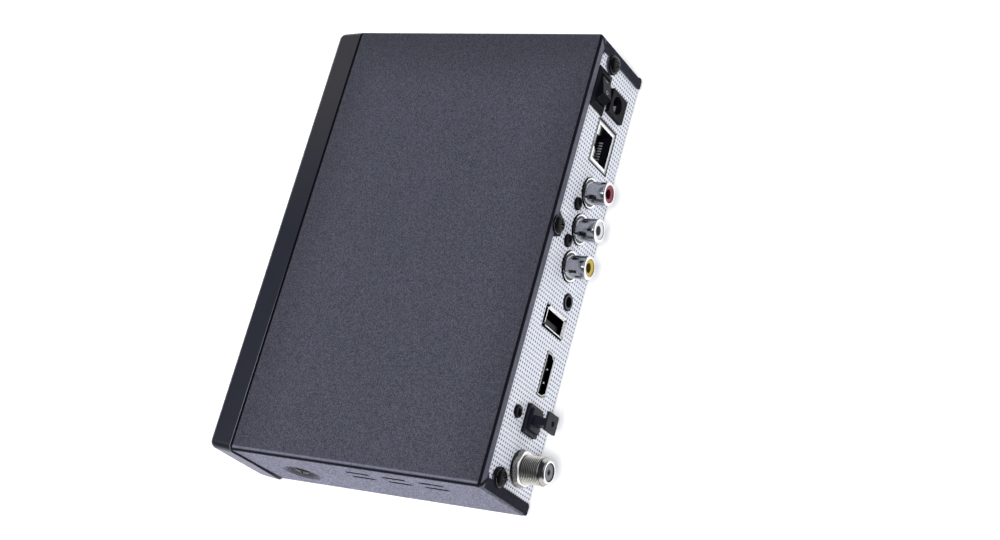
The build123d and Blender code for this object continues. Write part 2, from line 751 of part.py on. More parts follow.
def front_header():
    """Pin header that joins the main board to the front board."""
    width, depth, height = header_size
    y0 = cover_front_y + board_front_inset
    body = block(header_x - width / 2, header_x + width / 2, y0, y0 + depth, board_z, board_z + height)
    pin_z = board_z + height / 2
    for n in range(header_pins):
        x = header_x + (n - (header_pins - 1) / 2) * header_pin_pitch
        body += face_box(x, pin_z, header_pin, header_pin, front_board_y + front_board_thick, y0)
    return body


# ---------------------------------------------------------------- main board
def main_board():
    """Circuit board on the tray's standoffs."""
    board = block(-board_half, board_half, cover_front_y + board_front_inset, board_rear_y,
                  board_low_z, board_z)
    for x, y in board_screw_places():
        board -= post(x, y, board_low_z - cut_over, board_z + cut_over, board_screw_radius + hole_slack)
    return board


def board_screws():
    """Screws through the main board into the standoffs."""
    screw = pan_screw(board_screw_radius, board_screw_head, board_screw_length)
    return many(Pos(x, y, board_z) * screw for x, y in board_screw_places())


def on_board(x, inset, size, base=0):
    """A box standing on the main board at a distance from the rear plane."""
    width, depth, height = size
    y = rear_y - inset
    z0 = board_z + base
    return block(x - width / 2, x + width / 2, y - depth / 2, y + depth / 2, z0, z0 + height)


def heat_sink():
    """Finned block on the processor."""
    sink = on_board(chip_x, chip_rear_inset, sink_size, chip_size[2])
    gap = (sink_size[0] - fin_thick) / (fin_count - 1)
    fin = (fin_thick, sink_size[1], fin_height)
    for n in range(fin_count):
        x = chip_x - (sink_size[0] - fin_thick) / 2 + n * gap
        sink += on_board(x, chip_rear_inset, fin, chip_size[2] + sink_size[2])
    return sink


def capacitors():
    """Round supply capacitors."""
    cans = []
    for along, inset, radius, height in can_sizes:
        can = post(along - board_half, rear_y - inset, board_z, board_z + height, radius)
        cans.append(fillet(can.edges().sort_by(Axis.Z)[-1], sheet / 2))
    return many(cans)


# ---------------------------------------------------------------- aerial socket and tuner
def tuner_can():
    """Screening can of the tuner, open towards the board."""
    width, depth, height = tuner_size
    y1 = board_rear_y
    can = block(aerial_x - width / 2, aerial_x + width / 2, y1 - depth, y1, board_z, board_z + height)
    can -= block(aerial_x - width / 2 + tuner_wall, aerial_x + width / 2 - tuner_wall,
                 y1 - depth + tuner_wall, y1 - tuner_wall, board_z - cut_over,
                 board_z + height - tuner_wall)
    return can - rod(aerial_x, y1 - 2 * tuner_wall, y1 + cut_over, aerial_z, aerial_bore_radius)


def aerial_socket():
    """Threaded aerial connector: a tube at the thread's root through the wall and the nut, its full
    thread beyond the nut, a chamfered shoulder, a narrow end and a turned-in lip."""
    end = rear_y + aerial_reach
    nose_radius, nose_length = aerial_nose
    thread_y = label_y + aerial_washer[1] + aerial_nut[1] + aerial_run_out
    tube = rod(aerial_x, thread_y, end - nose_length, aerial_z, aerial_radius)
    tube = chamfer(tube.edges().sort_by(Axis.Y)[-1], aerial_radius - nose_radius - slack)
    tube += rod(aerial_x, board_rear_y, thread_y, aerial_z, aerial_root)
    nose = rod(aerial_x, board_rear_y, end, aerial_z, nose_radius)
    tube += fillet(nose.edges().sort_by(Axis.Y)[-1], aerial_lip / 2)
    tube -= rod(aerial_x, board_rear_y - cut_over, end - aerial_lip, aerial_z, aerial_bore_radius)
    return tube - rod(aerial_x, end - 2 * aerial_lip, end + cut_over, aerial_z, aerial_mouth_radius)


def aerial_insulator():
    """Plastic core of the aerial connector, round its centre contact."""
    end = rear_y + aerial_reach - aerial_lip
    core = rod(aerial_x, board_rear_y, end, aerial_z, aerial_bore_radius - slack)
    hole = aerial_pin_radius + slack
    return core - rod(aerial_x, board_rear_y - cut_over, end + cut_over, aerial_z, hole)


def aerial_contact():
    """Centre contact, from the tuner into the connector."""
    return rod(aerial_x, board_rear_y - 2 * aerial_bore_radius, rear_y + aerial_reach - aerial_pin_recess,
               aerial_z, aerial_pin_radius)


def aerial_washer_ring():
    """Washer between the label and the nut."""
    radius, thick = aerial_washer
    ring = rod(aerial_x, label_y, label_y + thick, aerial_z, radius)
    return ring - rod(aerial_x, label_y - cut_over, label_y + thick + cut_over, aerial_z,
                      aerial_root + slack)


def aerial_nut_ring():
    """Hexagon nut that clamps the aerial socket to the wall."""
    flats, thick = aerial_nut
    y0 = label_y + aerial_washer[1]
    corner = flats / 2 / cos(radians(30))
    hexagon = extrude(RegularPolygon(corner, 6), thick)
    nut = Pos(aerial_x, y0, aerial_z) * Rot(-90, 0, 0) * hexagon
    return nut - rod(aerial_x, y0 - cut_over, y0 + thick + cut_over, aerial_z, aerial_root + slack)


# ---------------------------------------------------------------- optical socket and dust plug
def optical_socket():
    """Square optical socket with a screw ear behind the rear wall."""
    width, depth, height = optical_size
    body = block(optical_x - width / 2, optical_x + width / 2, wall_inner_y - depth, wall_inner_y - slack,
                 board_z, board_z + height)
    body += face_box(optical_x, optical_z, width, optical_face_height, wall_inner_y - slack,
                     label_y + optical_proud)
    ear_width, ear_thick = optical_ear
    ear_top = board_z + optical_screw_height + 2 * small_screw_radius
    body += block(optical_x - ear_width / 2, optical_x + ear_width / 2, wall_inner_y - ear_thick,
                  wall_inner_y - slack, board_z + height, ear_top)
    screw_x, screw_z = connector_screw_points()[-1]
    body -= rod(screw_x, wall_inner_y - small_screw_length, wall_inner_y + cut_over, screw_z,
                small_screw_radius + slack)
    cavity_end = label_y + optical_proud - optical_cavity_depth
    return body - face_box(optical_x, optical_z, optical_cavity[0], optical_cavity[1], cavity_end,
                           label_y + optical_proud + cut_over)


def dust_plug():
    """Push-in cover of the optical socket: stem, flange, block, neck and pull tab."""
    seat = label_y + optical_proud
    flange_end = seat + plug_flange_thick
    block_width, block_height, block_thick = plug_block
    block_end = flange_end + block_thick
    plug = face_box(optical_x, optical_z, optical_cavity[0] - 2 * slide_slack,
                    optical_cavity[1] - 2 * slide_slack, seat - plug_stem_depth, seat)
    plug += face_box(optical_x, optical_z, optical_size[0], optical_face_height, seat, flange_end)
    plug += face_box(optical_x, optical_z, block_width, block_height, flange_end, block_end)
    tab_width, tab_height, tab_thick = plug_tab
    tab_front = rear_y + plug_tab_reach
    tab_back = tab_front - tab_thick
    sections = []
    for y, (width, height) in ((block_end, plug_neck_base), (tab_back, plug_neck_end)):
        plane = Plane(origin=(optical_x, y, optical_z), x_dir=(1, 0, 0), z_dir=(0, 1, 0))
        sections.append(plane * Rectangle(width, height))
    plug += loft(sections)
    tab = face_box(optical_x, optical_z, tab_width, tab_height, tab_back, tab_front)
    tab = fillet(tab.edges().filter_by(Axis.Y), plug_tab_corner)
    hole_z = optical_z - plug_tab_hole_drop
    tab -= rod(optical_x, tab_front - plug_tab_hole_depth, tab_front + cut_over, hole_z, plug_tab_hole)
    return plug + tab


# ---------------------------------------------------------------- digital video and data sockets
def video_outline(grow):
    """The socket's six-sided mouth, grown by a wall, as (x, z) points."""
    width, height = video_mouth
    side, rise = video_chamfer
    low = board_z + video_low + video_wall
    left, right = video_x - width / 2 - grow, video_x + width / 2 + grow
    return [(left, low + height + grow), (right, low + height + grow), (right, low + rise),
            (right - side, low - grow), (left + side, low - grow), (left, low + rise)]


def video_shell():
    """Folded steel sleeve of the video socket."""
    y0, y1 = label_y - video_depth, label_y
    return (rear_prism(video_outline(video_wall), y0, y1)
            - rear_prism(video_outline(0), y0 - cut_over, y1 + cut_over))


def video_insulator():
    """Tongue and rear block of the video socket, on a foot that stands on the board."""
    y0, y1 = label_y - video_depth, label_y
    width, thick = video_tongue
    low = board_z + video_low + video_wall
    middle = low + video_mouth[1] / 2
    rear_block = rear_prism(video_outline(-slack), y0, y0 + video_depth / 3)
    tongue = face_box(video_x, middle, width, thick, y0, y1 - video_tongue_recess)
    foot_low = block(video_x - width / 2, video_x + width / 2, y0 - video_wall, wall_inner_y - seam,
                     board_z, board_z + video_low - slack)
    back = block(video_x - width / 2, video_x + width / 2, y0 - 2 * video_wall, y0,
                 board_z, low + video_mouth[1] - slack)
    return rear_block + tongue + foot_low + back


def usb_shell():
    """Folded steel sleeve of the data socket, with its four lips flared."""
    width, height = usb_mouth
    y1 = label_y - usb_lip_depth / 3
    y0 = y1 - usb_depth
    sleeve = face_box(usb_x, usb_z, width + 2 * usb_wall, height + 2 * usb_wall, y0, y1)
    sleeve -= face_box(usb_x, usb_z, width, height, y0 - cut_over, y1 + cut_over)
    for axis_x, axis_z, span in ((-1, 0, height), (1, 0, height), (0, -1, width), (0, 1, width)):
        sleeve += usb_flare(axis_x, axis_z, span, y1)
    return sleeve


def usb_flare(axis_x, axis_z, span, y1):
    """One flared lip on the side that (axis_x, axis_z) points to."""
    half = (usb_mouth[0] if axis_x else usb_mouth[1]) / 2
    y2 = y1 + usb_lip_depth
    profile = [(half, y1), (half + usb_wall, y1), (half + usb_lip, y2), (half + usb_lip - usb_wall, y2)]
    outline = make_face(Polyline([(out, y, 0) for out, y in profile], close=True))
    lip = extrude(outline, span / 2, both=True)
    turn = degrees(atan2(axis_z, axis_x))
    return Pos(usb_x, 0, usb_z) * Rot(0, -turn, 0) * lip


def usb_insulator():
    """Tongue and rear block of the data socket."""
    width, height = usb_mouth
    thick, span = usb_tongue
    y1 = label_y - usb_lip_depth / 3
    y0 = y1 - usb_depth
    rear_block = face_box(usb_x, usb_z, width - 2 * slack, height - 2 * slack, y0, y0 + usb_depth / 4)
    x1 = usb_x + width / 2 - usb_tongue_gap
    tongue = block(x1 - thick, x1, y0, label_y - usb_tongue_recess, usb_z - span / 2, usb_z + span / 2)
    shell_low = usb_z - height / 2 - usb_wall
    foot = block(usb_x - width / 2, usb_x + width / 2, y0 - 2 * usb_wall, wall_inner_y - seam,
                 board_z, shell_low - slack)
    back = block(usb_x - width / 2, usb_x + width / 2, y0 - 2 * usb_wall, y0,
                 board_z, usb_z + height / 2)
    return rear_block + tongue + foot + back


def serial_jack():
    """Round-mouthed jack for a thin plug."""
    width, depth, height = serial_body
    body = block(serial_x - width / 2, serial_x + width / 2, wall_inner_y - depth, wall_inner_y - slack,
                 board_z, board_z + height)
    end = label_y + serial_proud
    body += rod(serial_x, wall_inner_y - slack, end, serial_z, serial_collar_radius)
    body -= rod(serial_x, end - serial_bore_depth, end + cut_over, serial_z, serial_bore_radius)
    rim = [e for e in body.edges().filter_by(GeomType.CIRCLE) if abs(e.center().Y - end) < slack]
    return chamfer(sorted(rim, key=lambda e: e.radius)[-1], slack * 4)


# ---------------------------------------------------------------- phono sockets
def phono_block_body():
    """Housing behind the wall that carries the three phono sockets."""
    depth, height = phono_block
    x0, x1 = phono_x[0] - phono_block_margin, phono_x[-1] + phono_block_margin
    body = block(x0, x1, wall_inner_y - depth, wall_inner_y - slack, board_z, board_z + height)
    for x in phono_x:
        body += rod(x, wall_inner_y - slack, label_y + phono_boss_proud, phono_z, phono_flange_radius)
        body -= rod(x, wall_inner_y - depth / 2, label_y + cut_over, phono_z, phono_hole_radius)
    for x, z in connector_screw_points()[:2]:
        body -= rod(x, wall_inner_y - small_screw_length, wall_inner_y + cut_over, z,
                    small_screw_radius + slack)
    return body


def phono_sleeve(x):
    """Slotted metal sleeve with a base ring and a turned-in lip."""
    base = label_y + phono_boss_proud
    end = rear_y + phono_reach
    sleeve = rod(x, base, base + phono_flange_thick, phono_z, phono_flange_radius)
    sleeve += rod(x, base, end, phono_z, phono_barrel_radius)
    tip = sleeve.edges().filter_by(GeomType.CIRCLE).sort_by(Axis.Y)[-1]
    sleeve = fillet(tip, phono_wall)
    sleeve -= rod(x, base - cut_over, end - phono_lip_thick, phono_z, phono_barrel_radius - phono_wall)
    sleeve -= rod(x, base - cut_over, end + cut_over, phono_z, phono_lip_radius)
    length, width = phono_slot
    y0 = rear_y + phono_slot_start
    for turn in (45, 135):
        bar = Box(width, length, 2 * phono_flange_radius)
        sleeve -= Pos(x, y0 + length / 2, phono_z) * Rot(0, turn, 0) * bar
    return sleeve


def phono_insert(x):
    """Coloured core of a phono socket, with the hole for the plug's pin."""
    base = label_y + phono_boss_proud
    end = rear_y + phono_reach - phono_lip_thick
    core = rod(x, base, end, phono_z, phono_barrel_radius - phono_wall - slack)
    return core - rod(x, base - cut_over, end + cut_over, phono_z, phono_hole_radius)


def phono_contacts():
    """Centre contacts at the foot of each phono hole."""
    depth = phono_block[0]
    return many(rod(x, wall_inner_y - depth / 2, label_y, phono_z, phono_hole_radius - slack)
                for x in phono_x)


# ---------------------------------------------------------------- network socket
def lan_face_y():
    return label_y - lan_recess


def lan_shield():
    """Screening case of the network socket, open at its mouth and underneath."""
    width, depth, height = lan_size
    y1 = lan_face_y()
    case = block(lan_x - width / 2, lan_x + width / 2, y1 - depth, y1, lan_z, lan_z + height)
    case -= block(lan_x - width / 2 + lan_wall, lan_x + width / 2 - lan_wall, y1 - depth + lan_wall,
                  y1 - lan_wall, lan_z - cut_over, lan_z + height - lan_wall)
    mouth_z = lan_z + lan_mouth_low + lan_mouth[1] / 2
    return case - face_box(lan_x, mouth_z, lan_mouth[0], lan_mouth[1], y1 - 2 * lan_wall, y1 + cut_over)


def lan_housing():
    """Moulded body of the network socket, with the stepped mouth for plug and latch."""
    width, depth, height = lan_size
    y1 = lan_face_y() - lan_wall - slack
    y0 = lan_face_y() - depth + lan_wall + slack
    inner = width / 2 - lan_wall - slack
    body = block(lan_x - inner, lan_x + inner, y0, y1, lan_z, lan_z + height - lan_wall - slack)
    body += block(lan_x - inner, lan_x + inner, y0, wall_inner_y - seam, board_z, lan_z)
    floor = lan_z + lan_mouth_low + lan_wall
    deep = y1 - lan_cavity_depth
    cavity_width, cavity_height = lan_cavity
    step_width, step_height = lan_step
    top = lan_z + lan_mouth_low + lan_mouth[1]
    body -= block(lan_x - cavity_width / 2, lan_x + cavity_width / 2, deep, y1 + cut_over,
                  floor, floor + cavity_height)
    body -= block(lan_x - step_width / 2, lan_x + step_width / 2, deep, y1 + cut_over,
                  floor, floor + cavity_height + step_height)
    body -= block(lan_x - lan_latch_width / 2, lan_x + lan_latch_width / 2, deep, y1 + cut_over, floor, top)
    for x, z in lan_lamp_places():
        body -= face_box(x, z, lan_lamp_size[0] + 2 * slack, lan_lamp_size[1] + 2 * slack,
                         y1 - lan_lamp_size[0], y1 + cut_over)
    return body


def lan_lamp_places():
    """Middles of the socket's two signal lamps as (x, z)."""
    z = lan_z + lan_mouth_low + lan_mouth[1] - lan_lamp_size[1] / 2 - slack
    x = (lan_mouth[0] - lan_lamp_size[0]) / 2 - slack
    return [(lan_x - x, z), (lan_x + x, z)]


def lan_lamps():
    """Clear signal lamps in the network socket's upper corners."""
    y1 = lan_face_y() - lan_wall - slack
    width, height = lan_lamp_size
    return many(face_box(x, z, width, height, y1 - width + slack, y1) for x, z in lan_lamp_places())


def lan_contacts():
    """Eight slanting spring contacts over the network socket's floor."""
    floor = lan_z + lan_mouth_low + lan_wall
    face = lan_face_y() - lan_wall - slack
    deep, near = face - lan_cavity_depth, face - lan_pin_inset
    pins = []
    for n in range(lan_pins):
        x = lan_x + (n - (lan_pins - 1) / 2) * lan_pin_pitch
        pins.append(side_prism([(deep, floor + lan_pin_rise), (deep, floor + lan_pin_rise + lan_pin),
                                (near, floor + lan_pin), (near, floor)],
                               x - lan_pin / 2, x + lan_pin / 2))
    return many(pins)


# ---------------------------------------------------------------- power inlet
def power_inlet():
    """Housing of the round power inlet."""
    width, height = power_size
    end = label_y + power_proud
    low = board_z + power_low
    body = block(power_x - width / 2, power_x + width / 2, wall_inner_y - power_depth,
                 wall_inner_y - slack, board_z, low + height)
    body += block(power_x - width / 2, power_x + width / 2, wall_inner_y - slack, end, low, low + height)
    return body - rod(power_x, end - power_bore_depth, end + cut_over, power_z, power_bore_radius)


def power_pin():
    """Centre pin of the power inlet."""
    root = label_y + power_proud - power_bore_depth
    pin = rod(power_x, root, root + power_pin_length, power_z, power_pin_radius)
    return fillet(pin.edges().sort_by(Axis.Y)[-1], power_pin_radius / 2)


def power_spring():
    """Leaf contact along the bottom of the inlet's bore."""
    root = label_y + power_proud - power_bore_depth
    low = power_z - power_bore_radius
    thick = power_pin_radius / 3
    return side_prism([(root, low + thick), (root, low + 2 * thick),
                       (root + power_pin_length / 2, low + 3 * thick),
                       (root + power_pin_length, low + 2 * thick),
                       (root + power_pin_length, low + thick),
                       (root + power_pin_length / 2, low + 2 * thick)],
                      power_x - power_pin_radius, power_x + power_pin_radius)


# ---------------------------------------------------------------- power switch
def switch_frame():
    """Switch body with a sloping flange outside the wall."""
    width, height = switch_flange
    edge_y = label_y + switch_flange_edge
    flange = face_box(switch_x, switch_z, width, height, label_y, edge_y)
    sections = []
    for y, inset in ((edge_y, 0), (label_y + switch_rim, switch_rim_inset)):
        plane = Plane(origin=(switch_x, y, switch_z), x_dir=(1, 0, 0), z_dir=(0, 1, 0))
        sections.append(plane * Rectangle(width - 2 * inset, height - 2 * inset))
    flange += loft(sections)
    mouth_width, mouth_height = switch_mouth
    flange += face_box(switch_x, switch_z, mouth_width + 2 * switch_wall, mouth_height + 2 * switch_wall,
                       label_y - switch_body_depth, label_y)
    flange -= face_box(switch_x, switch_z, mouth_width, mouth_height,
                       label_y - switch_cavity_depth, label_y + switch_rim + cut_over)
    span = mouth_height + 2 * (rocker_pin_length + pin_slack)
    return flange - post(switch_x, pivot_y, switch_z - span / 2, switch_z + span / 2,
                         rocker_pin_radius + pin_slack)


def power_rocker():
    """Rocker with round ends and a flat top, on two short pins, one end pressed in."""
    disc = post(switch_x, pivot_y, switch_z - rocker_width / 2, switch_z + rocker_width / 2, rocker_radius)
    reach = 2 * rocker_radius
    above = block(-reach, reach, rocker_top, rocker_top + reach, -reach, reach)
    below = block(-reach, reach, -rocker_belly - reach, -rocker_belly, -reach, reach)
    place = Pos(switch_x, pivot_y, switch_z) * Rot(0, 0, rocker_tilt)
    body = disc - place * above - place * below
    half = rocker_width / 2 + rocker_pin_length
    return body + post(switch_x, pivot_y, switch_z - half, switch_z + half, rocker_pin_radius)


def terminal_places():
    """Middles of the switch's rear terminals in X."""
    return [switch_x - terminal_pitch / 2, switch_x + terminal_pitch / 2]


def switch_terminals():
    """Blade terminals behind the switch."""
    thick, length, height = terminal_size
    y1 = label_y - switch_body_depth
    return many(face_box(x, switch_z, thick, height, y1 - length, y1) for x in terminal_places())


def switch_wires():
    """Wires from the switch's terminals down to the main board."""
    start = label_y - switch_body_depth - terminal_size[1]
    bend = 4 * wire_radius
    wires = []
    for x in terminal_places():
        path = FilletPolyline((x, start, switch_z), (x, start - 3 * bend, switch_z),
                              (x, start - 3 * bend, board_z), radius=bend)
        section = Plane(origin=(x, start, switch_z), z_dir=(0, -1, 0)) * Circle(wire_radius)
        wires.append(sweep(section, path=path))
    return many(wires)


def connector_screws():
    """Black screws that hold the phono block and the optical socket to the rear wall."""
    screw = pan_screw(small_screw_radius, small_screw_head, small_screw_length)
    return many(Pos(x, label_y, z) * rearward * screw for x, z in connector_screw_points())


# ---------------------------------------------------------------- write every node
phono_colours = ("red", "white", "yellow")
nodes = {
    "top_cover": top_cover(),
    "tray": tray(),
    "rear_label": rear_label(),
    "rubber_feet": rubber_feet(),
    "rear_cover_screws": rear_cover_screws(),
    "side_cover_screws": side_cover_screws(),
    "front_bezel": front_bezel(),
    "front_window": front_window(),
    "power_button": front_button(button_x[0]),
    "channel_down_button": front_button(button_x[1]),
    "channel_up_button": front_button(button_x[2]),
    "front_board": front_board(),
    "front_board_screws": front_board_screws(),
    "display_module": display_module(),
    "standby_lamp": standby_lamp(),
    "infrared_receiver": infrared_receiver(),
    "tact_switches": tact_switches(),
    "front_header": front_header(),
    "main_board": main_board(),
    "board_screws": board_screws(),
    "processor": on_board(chip_x, chip_rear_inset, chip_size),
    "heat_sink": heat_sink(),
    "memory_chips": many(on_board(x, chip_rear_inset, memory_size) for x in memory_x),
    "flash_chip": on_board(flash_x, chip_rear_inset, flash_size),
    "capacitors": capacitors(),
    "coils": many(on_board(along - board_half, inset, coil_size) for along, inset in coil_places),
    "tuner_can": tuner_can(),
    "aerial_socket": aerial_socket(),
    "aerial_insulator": aerial_insulator(),
    "aerial_contact": aerial_contact(),
    "aerial_washer": aerial_washer_ring(),
    "aerial_nut": aerial_nut_ring(),
    "optical_socket": optical_socket(),
    "dust_plug": dust_plug(),
    "video_socket_shell": video_shell(),
    "video_socket_insulator": video_insulator(),
    "usb_shell": usb_shell(),
    "usb_insulator": usb_insulator(),
    "serial_jack": serial_jack(),
    "phono_block": phono_block_body(),
    "phono_contacts": phono_contacts(),
    "lan_shield": lan_shield(),
    "lan_housing": lan_housing(),
    "lan_lamps": lan_lamps(),
    "lan_contacts": lan_contacts(),
    "power_inlet": power_inlet(),
    "power_pin": power_pin(),
    "power_spring": power_spring(),
    "switch_frame": switch_frame(),
    "power_rocker": power_rocker(),
    "switch_terminals": switch_terminals(),
    "switch_wires": switch_wires(),
    "connector_screws": connector_screws(),
}
for x, colour in zip(phono_x, phono_colours):
    nodes["phono_sleeve_" + colour] = phono_sleeve(x)
    nodes["phono_insert_" + colour] = phono_insert(x)

os.makedirs("parts", exist_ok=True)
for name, shape in nodes.items():
    export_step(shape, "parts/" + name + ".step")
    print(name, round(shape.volume, 2))
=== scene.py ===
"""Looks of a satellite receiver in a folded steel case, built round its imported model.

Sizes in this file are millimetres unless a line says otherwise; Blender's own units are metres.
+X runs across the case towards the aerial socket, +Y to the rear panel and +Z up.
"""
import json
from functools import reduce

import bmesh
import bpy
import numpy as np
from mathutils import Matrix, Vector


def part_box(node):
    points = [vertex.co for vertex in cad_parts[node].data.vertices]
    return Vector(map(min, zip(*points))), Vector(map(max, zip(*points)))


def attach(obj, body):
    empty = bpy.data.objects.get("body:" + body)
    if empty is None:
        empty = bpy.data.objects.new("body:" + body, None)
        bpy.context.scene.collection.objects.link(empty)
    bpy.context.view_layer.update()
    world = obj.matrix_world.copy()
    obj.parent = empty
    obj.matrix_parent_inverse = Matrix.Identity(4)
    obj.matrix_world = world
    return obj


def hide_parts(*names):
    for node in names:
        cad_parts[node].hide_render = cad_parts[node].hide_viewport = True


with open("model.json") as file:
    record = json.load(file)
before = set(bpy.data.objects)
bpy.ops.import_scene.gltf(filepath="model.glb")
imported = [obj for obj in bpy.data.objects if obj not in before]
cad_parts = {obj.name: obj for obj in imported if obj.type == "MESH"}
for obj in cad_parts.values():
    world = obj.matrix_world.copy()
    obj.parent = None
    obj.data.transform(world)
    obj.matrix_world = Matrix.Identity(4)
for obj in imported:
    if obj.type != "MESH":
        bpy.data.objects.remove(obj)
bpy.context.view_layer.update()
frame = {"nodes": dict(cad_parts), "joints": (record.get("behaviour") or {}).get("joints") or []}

# ---------------------------------------------------------------- view, floor and light
# The receiver lies on a wide white studio floor. A pale cove rises round it to a darker ceiling.
# Broad daylight falls from high behind its right-hand end, and a soft box hangs over its front.
bpy.context.scene.view_settings.view_transform = "Standard"
MM = 0.001


def camera_at(place, right, up, back, lens):
    """A camera from its place in metres and its three axes."""
    data = bpy.data.cameras.new("camera")
    data.lens, data.sensor_width = lens, 36.0
    camera = bpy.data.objects.new("camera", data)
    bpy.context.scene.collection.objects.link(camera)
    columns = Matrix((right, up, back)).transposed()
    camera.matrix_world = Matrix.Translation(place) @ columns.to_4x4()
    bpy.context.scene.camera = camera


camera_at(place=(0.197469, 0.361297, 0.537912), right=(-0.257651, 0.852286, -0.455218),
          up=(-0.917695, -0.068396, 0.391355), back=(0.302411, 0.518585, 0.799761), lens=69.02)


def soft_box(name, place, aim, width, height, watts, colour):
    """A rectangular area lamp at a place in metres, turned towards a point."""
    data = bpy.data.lights.new(name, "AREA")
    data.shape, data.size, data.size_y = "RECTANGLE", width, height
    data.energy, data.color = watts, colour
    lamp = bpy.data.objects.new(name, data)
    bpy.context.scene.collection.objects.link(lamp)
    lamp.location = place
    lamp.rotation_euler = (Vector(aim) - Vector(place)).to_track_quat("-Z", "Y").to_euler()


soft_box("overhead_box", (0.30, -0.55, 1.15), (0, 0, 0), 0.5, 0.5, 3.0, (0.97, 0.98, 1.0))
daylight = bpy.data.lights.new("daylight", "SUN")
daylight.energy, daylight.angle, daylight.color = 2.5, 0.35, (0.98, 0.99, 1.0)
towards_sun = Vector((0.33, 0.40, 0.855))
sun = bpy.data.objects.new("daylight", daylight)
bpy.context.scene.collection.objects.link(sun)
sun.rotation_euler = towards_sun.to_track_quat("Z", "Y").to_euler()
sun.visible_glossy = False


def finish(name, **sockets):
    """A new material whose shader sockets are set by name, underscores standing for spaces."""
    material = bpy.data.materials.new(name)
    material.use_nodes = True
    shader = material.node_tree.nodes["Principled BSDF"]
    for key, value in sockets.items():
        shader.inputs[key.replace("_", " ")].default_value = value
    return material


def put(material, socket, value):
    """Links a node's output to one of the shader's sockets."""
    shader = material.node_tree.nodes["Principled BSDF"]
    material.node_tree.links.new(value, shader.inputs[socket])


def work_on(opened):
    """Opens a node tree. The steps defined below add their nodes to the tree opened last."""
    global tree
    tree = opened


def add(kind, options=None, **inputs):
    """A new node. Options are its settings; inputs are values or sockets, i0 and i1 by number."""
    made = tree.nodes.new("ShaderNode" + kind)
    for key, value in (options or {}).items():
        setattr(made, key, value)
    for key, value in inputs.items():
        socket = made.inputs[int(key[1:]) if key[1:].isdigit() else key.replace("_", " ")]
        if isinstance(value, bpy.types.NodeSocket):
            tree.links.new(value, socket)
        else:
            socket.default_value = value
    return made


def maths(operation, a, b=0.0, clamp=False):
    """One arithmetic step on sockets or numbers."""
    return add("Math", {"operation": operation, "use_clamp": clamp}, i0=a, i1=b).outputs[0]


def span(value, low, high, out_low=0.0, out_high=1.0):
    """Maps low..high of a value to out_low..out_high, smoothly and held at both ends."""
    made = add("MapRange", {"interpolation_type": "SMOOTHSTEP"}, i0=value)
    for number, level in enumerate((low, high, out_low, out_high), 1):
        made.inputs[number].default_value = level
    return made.outputs[0]


def fall(value, low, high):
    """A mask that is full below low and gone above high."""
    return span(value, low, high, 1.0, 0.0)


def tint(factor, a, b):
    """Mixes two colours, given as colours or sockets, by a factor."""
    made = add("Mix", {"data_type": "RGBA"}, i0=factor)
    for number, value in ((6, a), (7, b)):
        if isinstance(value, bpy.types.NodeSocket):
            tree.links.new(value, made.inputs[number])
        else:
            made.inputs[number].default_value = (*value, 1.0)
    return made.outputs[2]


def place_of():
    """Object coordinates in millimetres: the vector and its three parts."""
    raw = add("TexCoord").outputs["Object"]
    scaled = add("VectorMath", {"operation": "SCALE"}, i0=raw, Scale=1 / MM).outputs[0]
    parts = add("SeparateXYZ", i0=scaled)
    return scaled, parts.outputs[0], parts.outputs[1], parts.outputs[2]


def begin(name, **sockets):
    """Opens a new finish, and gives it with the vector and the three parts of place_of."""
    material = finish(name, **sockets)
    work_on(material.node_tree)
    return material, *place_of()


def cloud(vector, size, detail=2.0, roughness=0.5):
    """Noise whose lumps are about size across, 0 to 1."""
    return add("TexNoise", Vector=vector, Scale=1 / size, Detail=detail,
               Roughness=roughness).outputs[0]


studio = bpy.data.worlds.new("studio")
bpy.context.scene.world = studio
studio.use_nodes = True
work_on(studio.node_tree)
sky_way = add("TexCoord").outputs["Generated"]
sky_z = add("SeparateXYZ", i0=sky_way).outputs[2]
sky_lean = add("VectorMath", {"operation": "DOT_PRODUCT"}, i0=sky_way,
               i1=(-0.42, -0.38, 0.82)).outputs["Value"]
sky_tone = tint(span(sky_lean, 0.62, 1.0), (0.045, 0.046, 0.054), (0.42, 0.43, 0.48))
sky_tone = tint(fall(sky_z, 0.05, 0.20), sky_tone, (0.80, 0.81, 0.84))
tree.links.new(sky_tone, tree.nodes["Background"].inputs[0])

floor_finish, _at, *_ = begin("studio_floor", Roughness=0.9, Specular_IOR_Level=0.0,
                              Emission_Color=(1, 1, 1, 1))
put(floor_finish, "Base Color", tint(cloud(_at, 400.0), (0.94, 0.94, 0.94), (0.96, 0.96, 0.96)))
_path = add("LightPath").outputs
floor_glow = 0.3
_seen = maths("ADD", maths("ADD", _path["Is Camera Ray"], _path["Is Glossy Ray"]),
              _path["Is Transmission Ray"], clamp=True)
put(floor_finish, "Emission Strength", maths("MULTIPLY", _seen, floor_glow))


def sheet_grid(points, loop_u=False, loop_v=False):
    """Quads over a grid of points, rows along u, columns along v; a looped way joins its ends."""
    rows, columns = points.shape[:2]
    i = np.arange(rows if loop_u else rows - 1)[:, None]
    j = np.arange(columns if loop_v else columns - 1)[None, :]
    i_next, j_next = (i + 1) % rows, (j + 1) % columns
    quads = np.stack([i * columns + j, i_next * columns + j, i_next * columns + j_next,
                      i * columns + j_next], axis=-1)
    return points.reshape(-1, 3), quads.reshape(-1, 4)


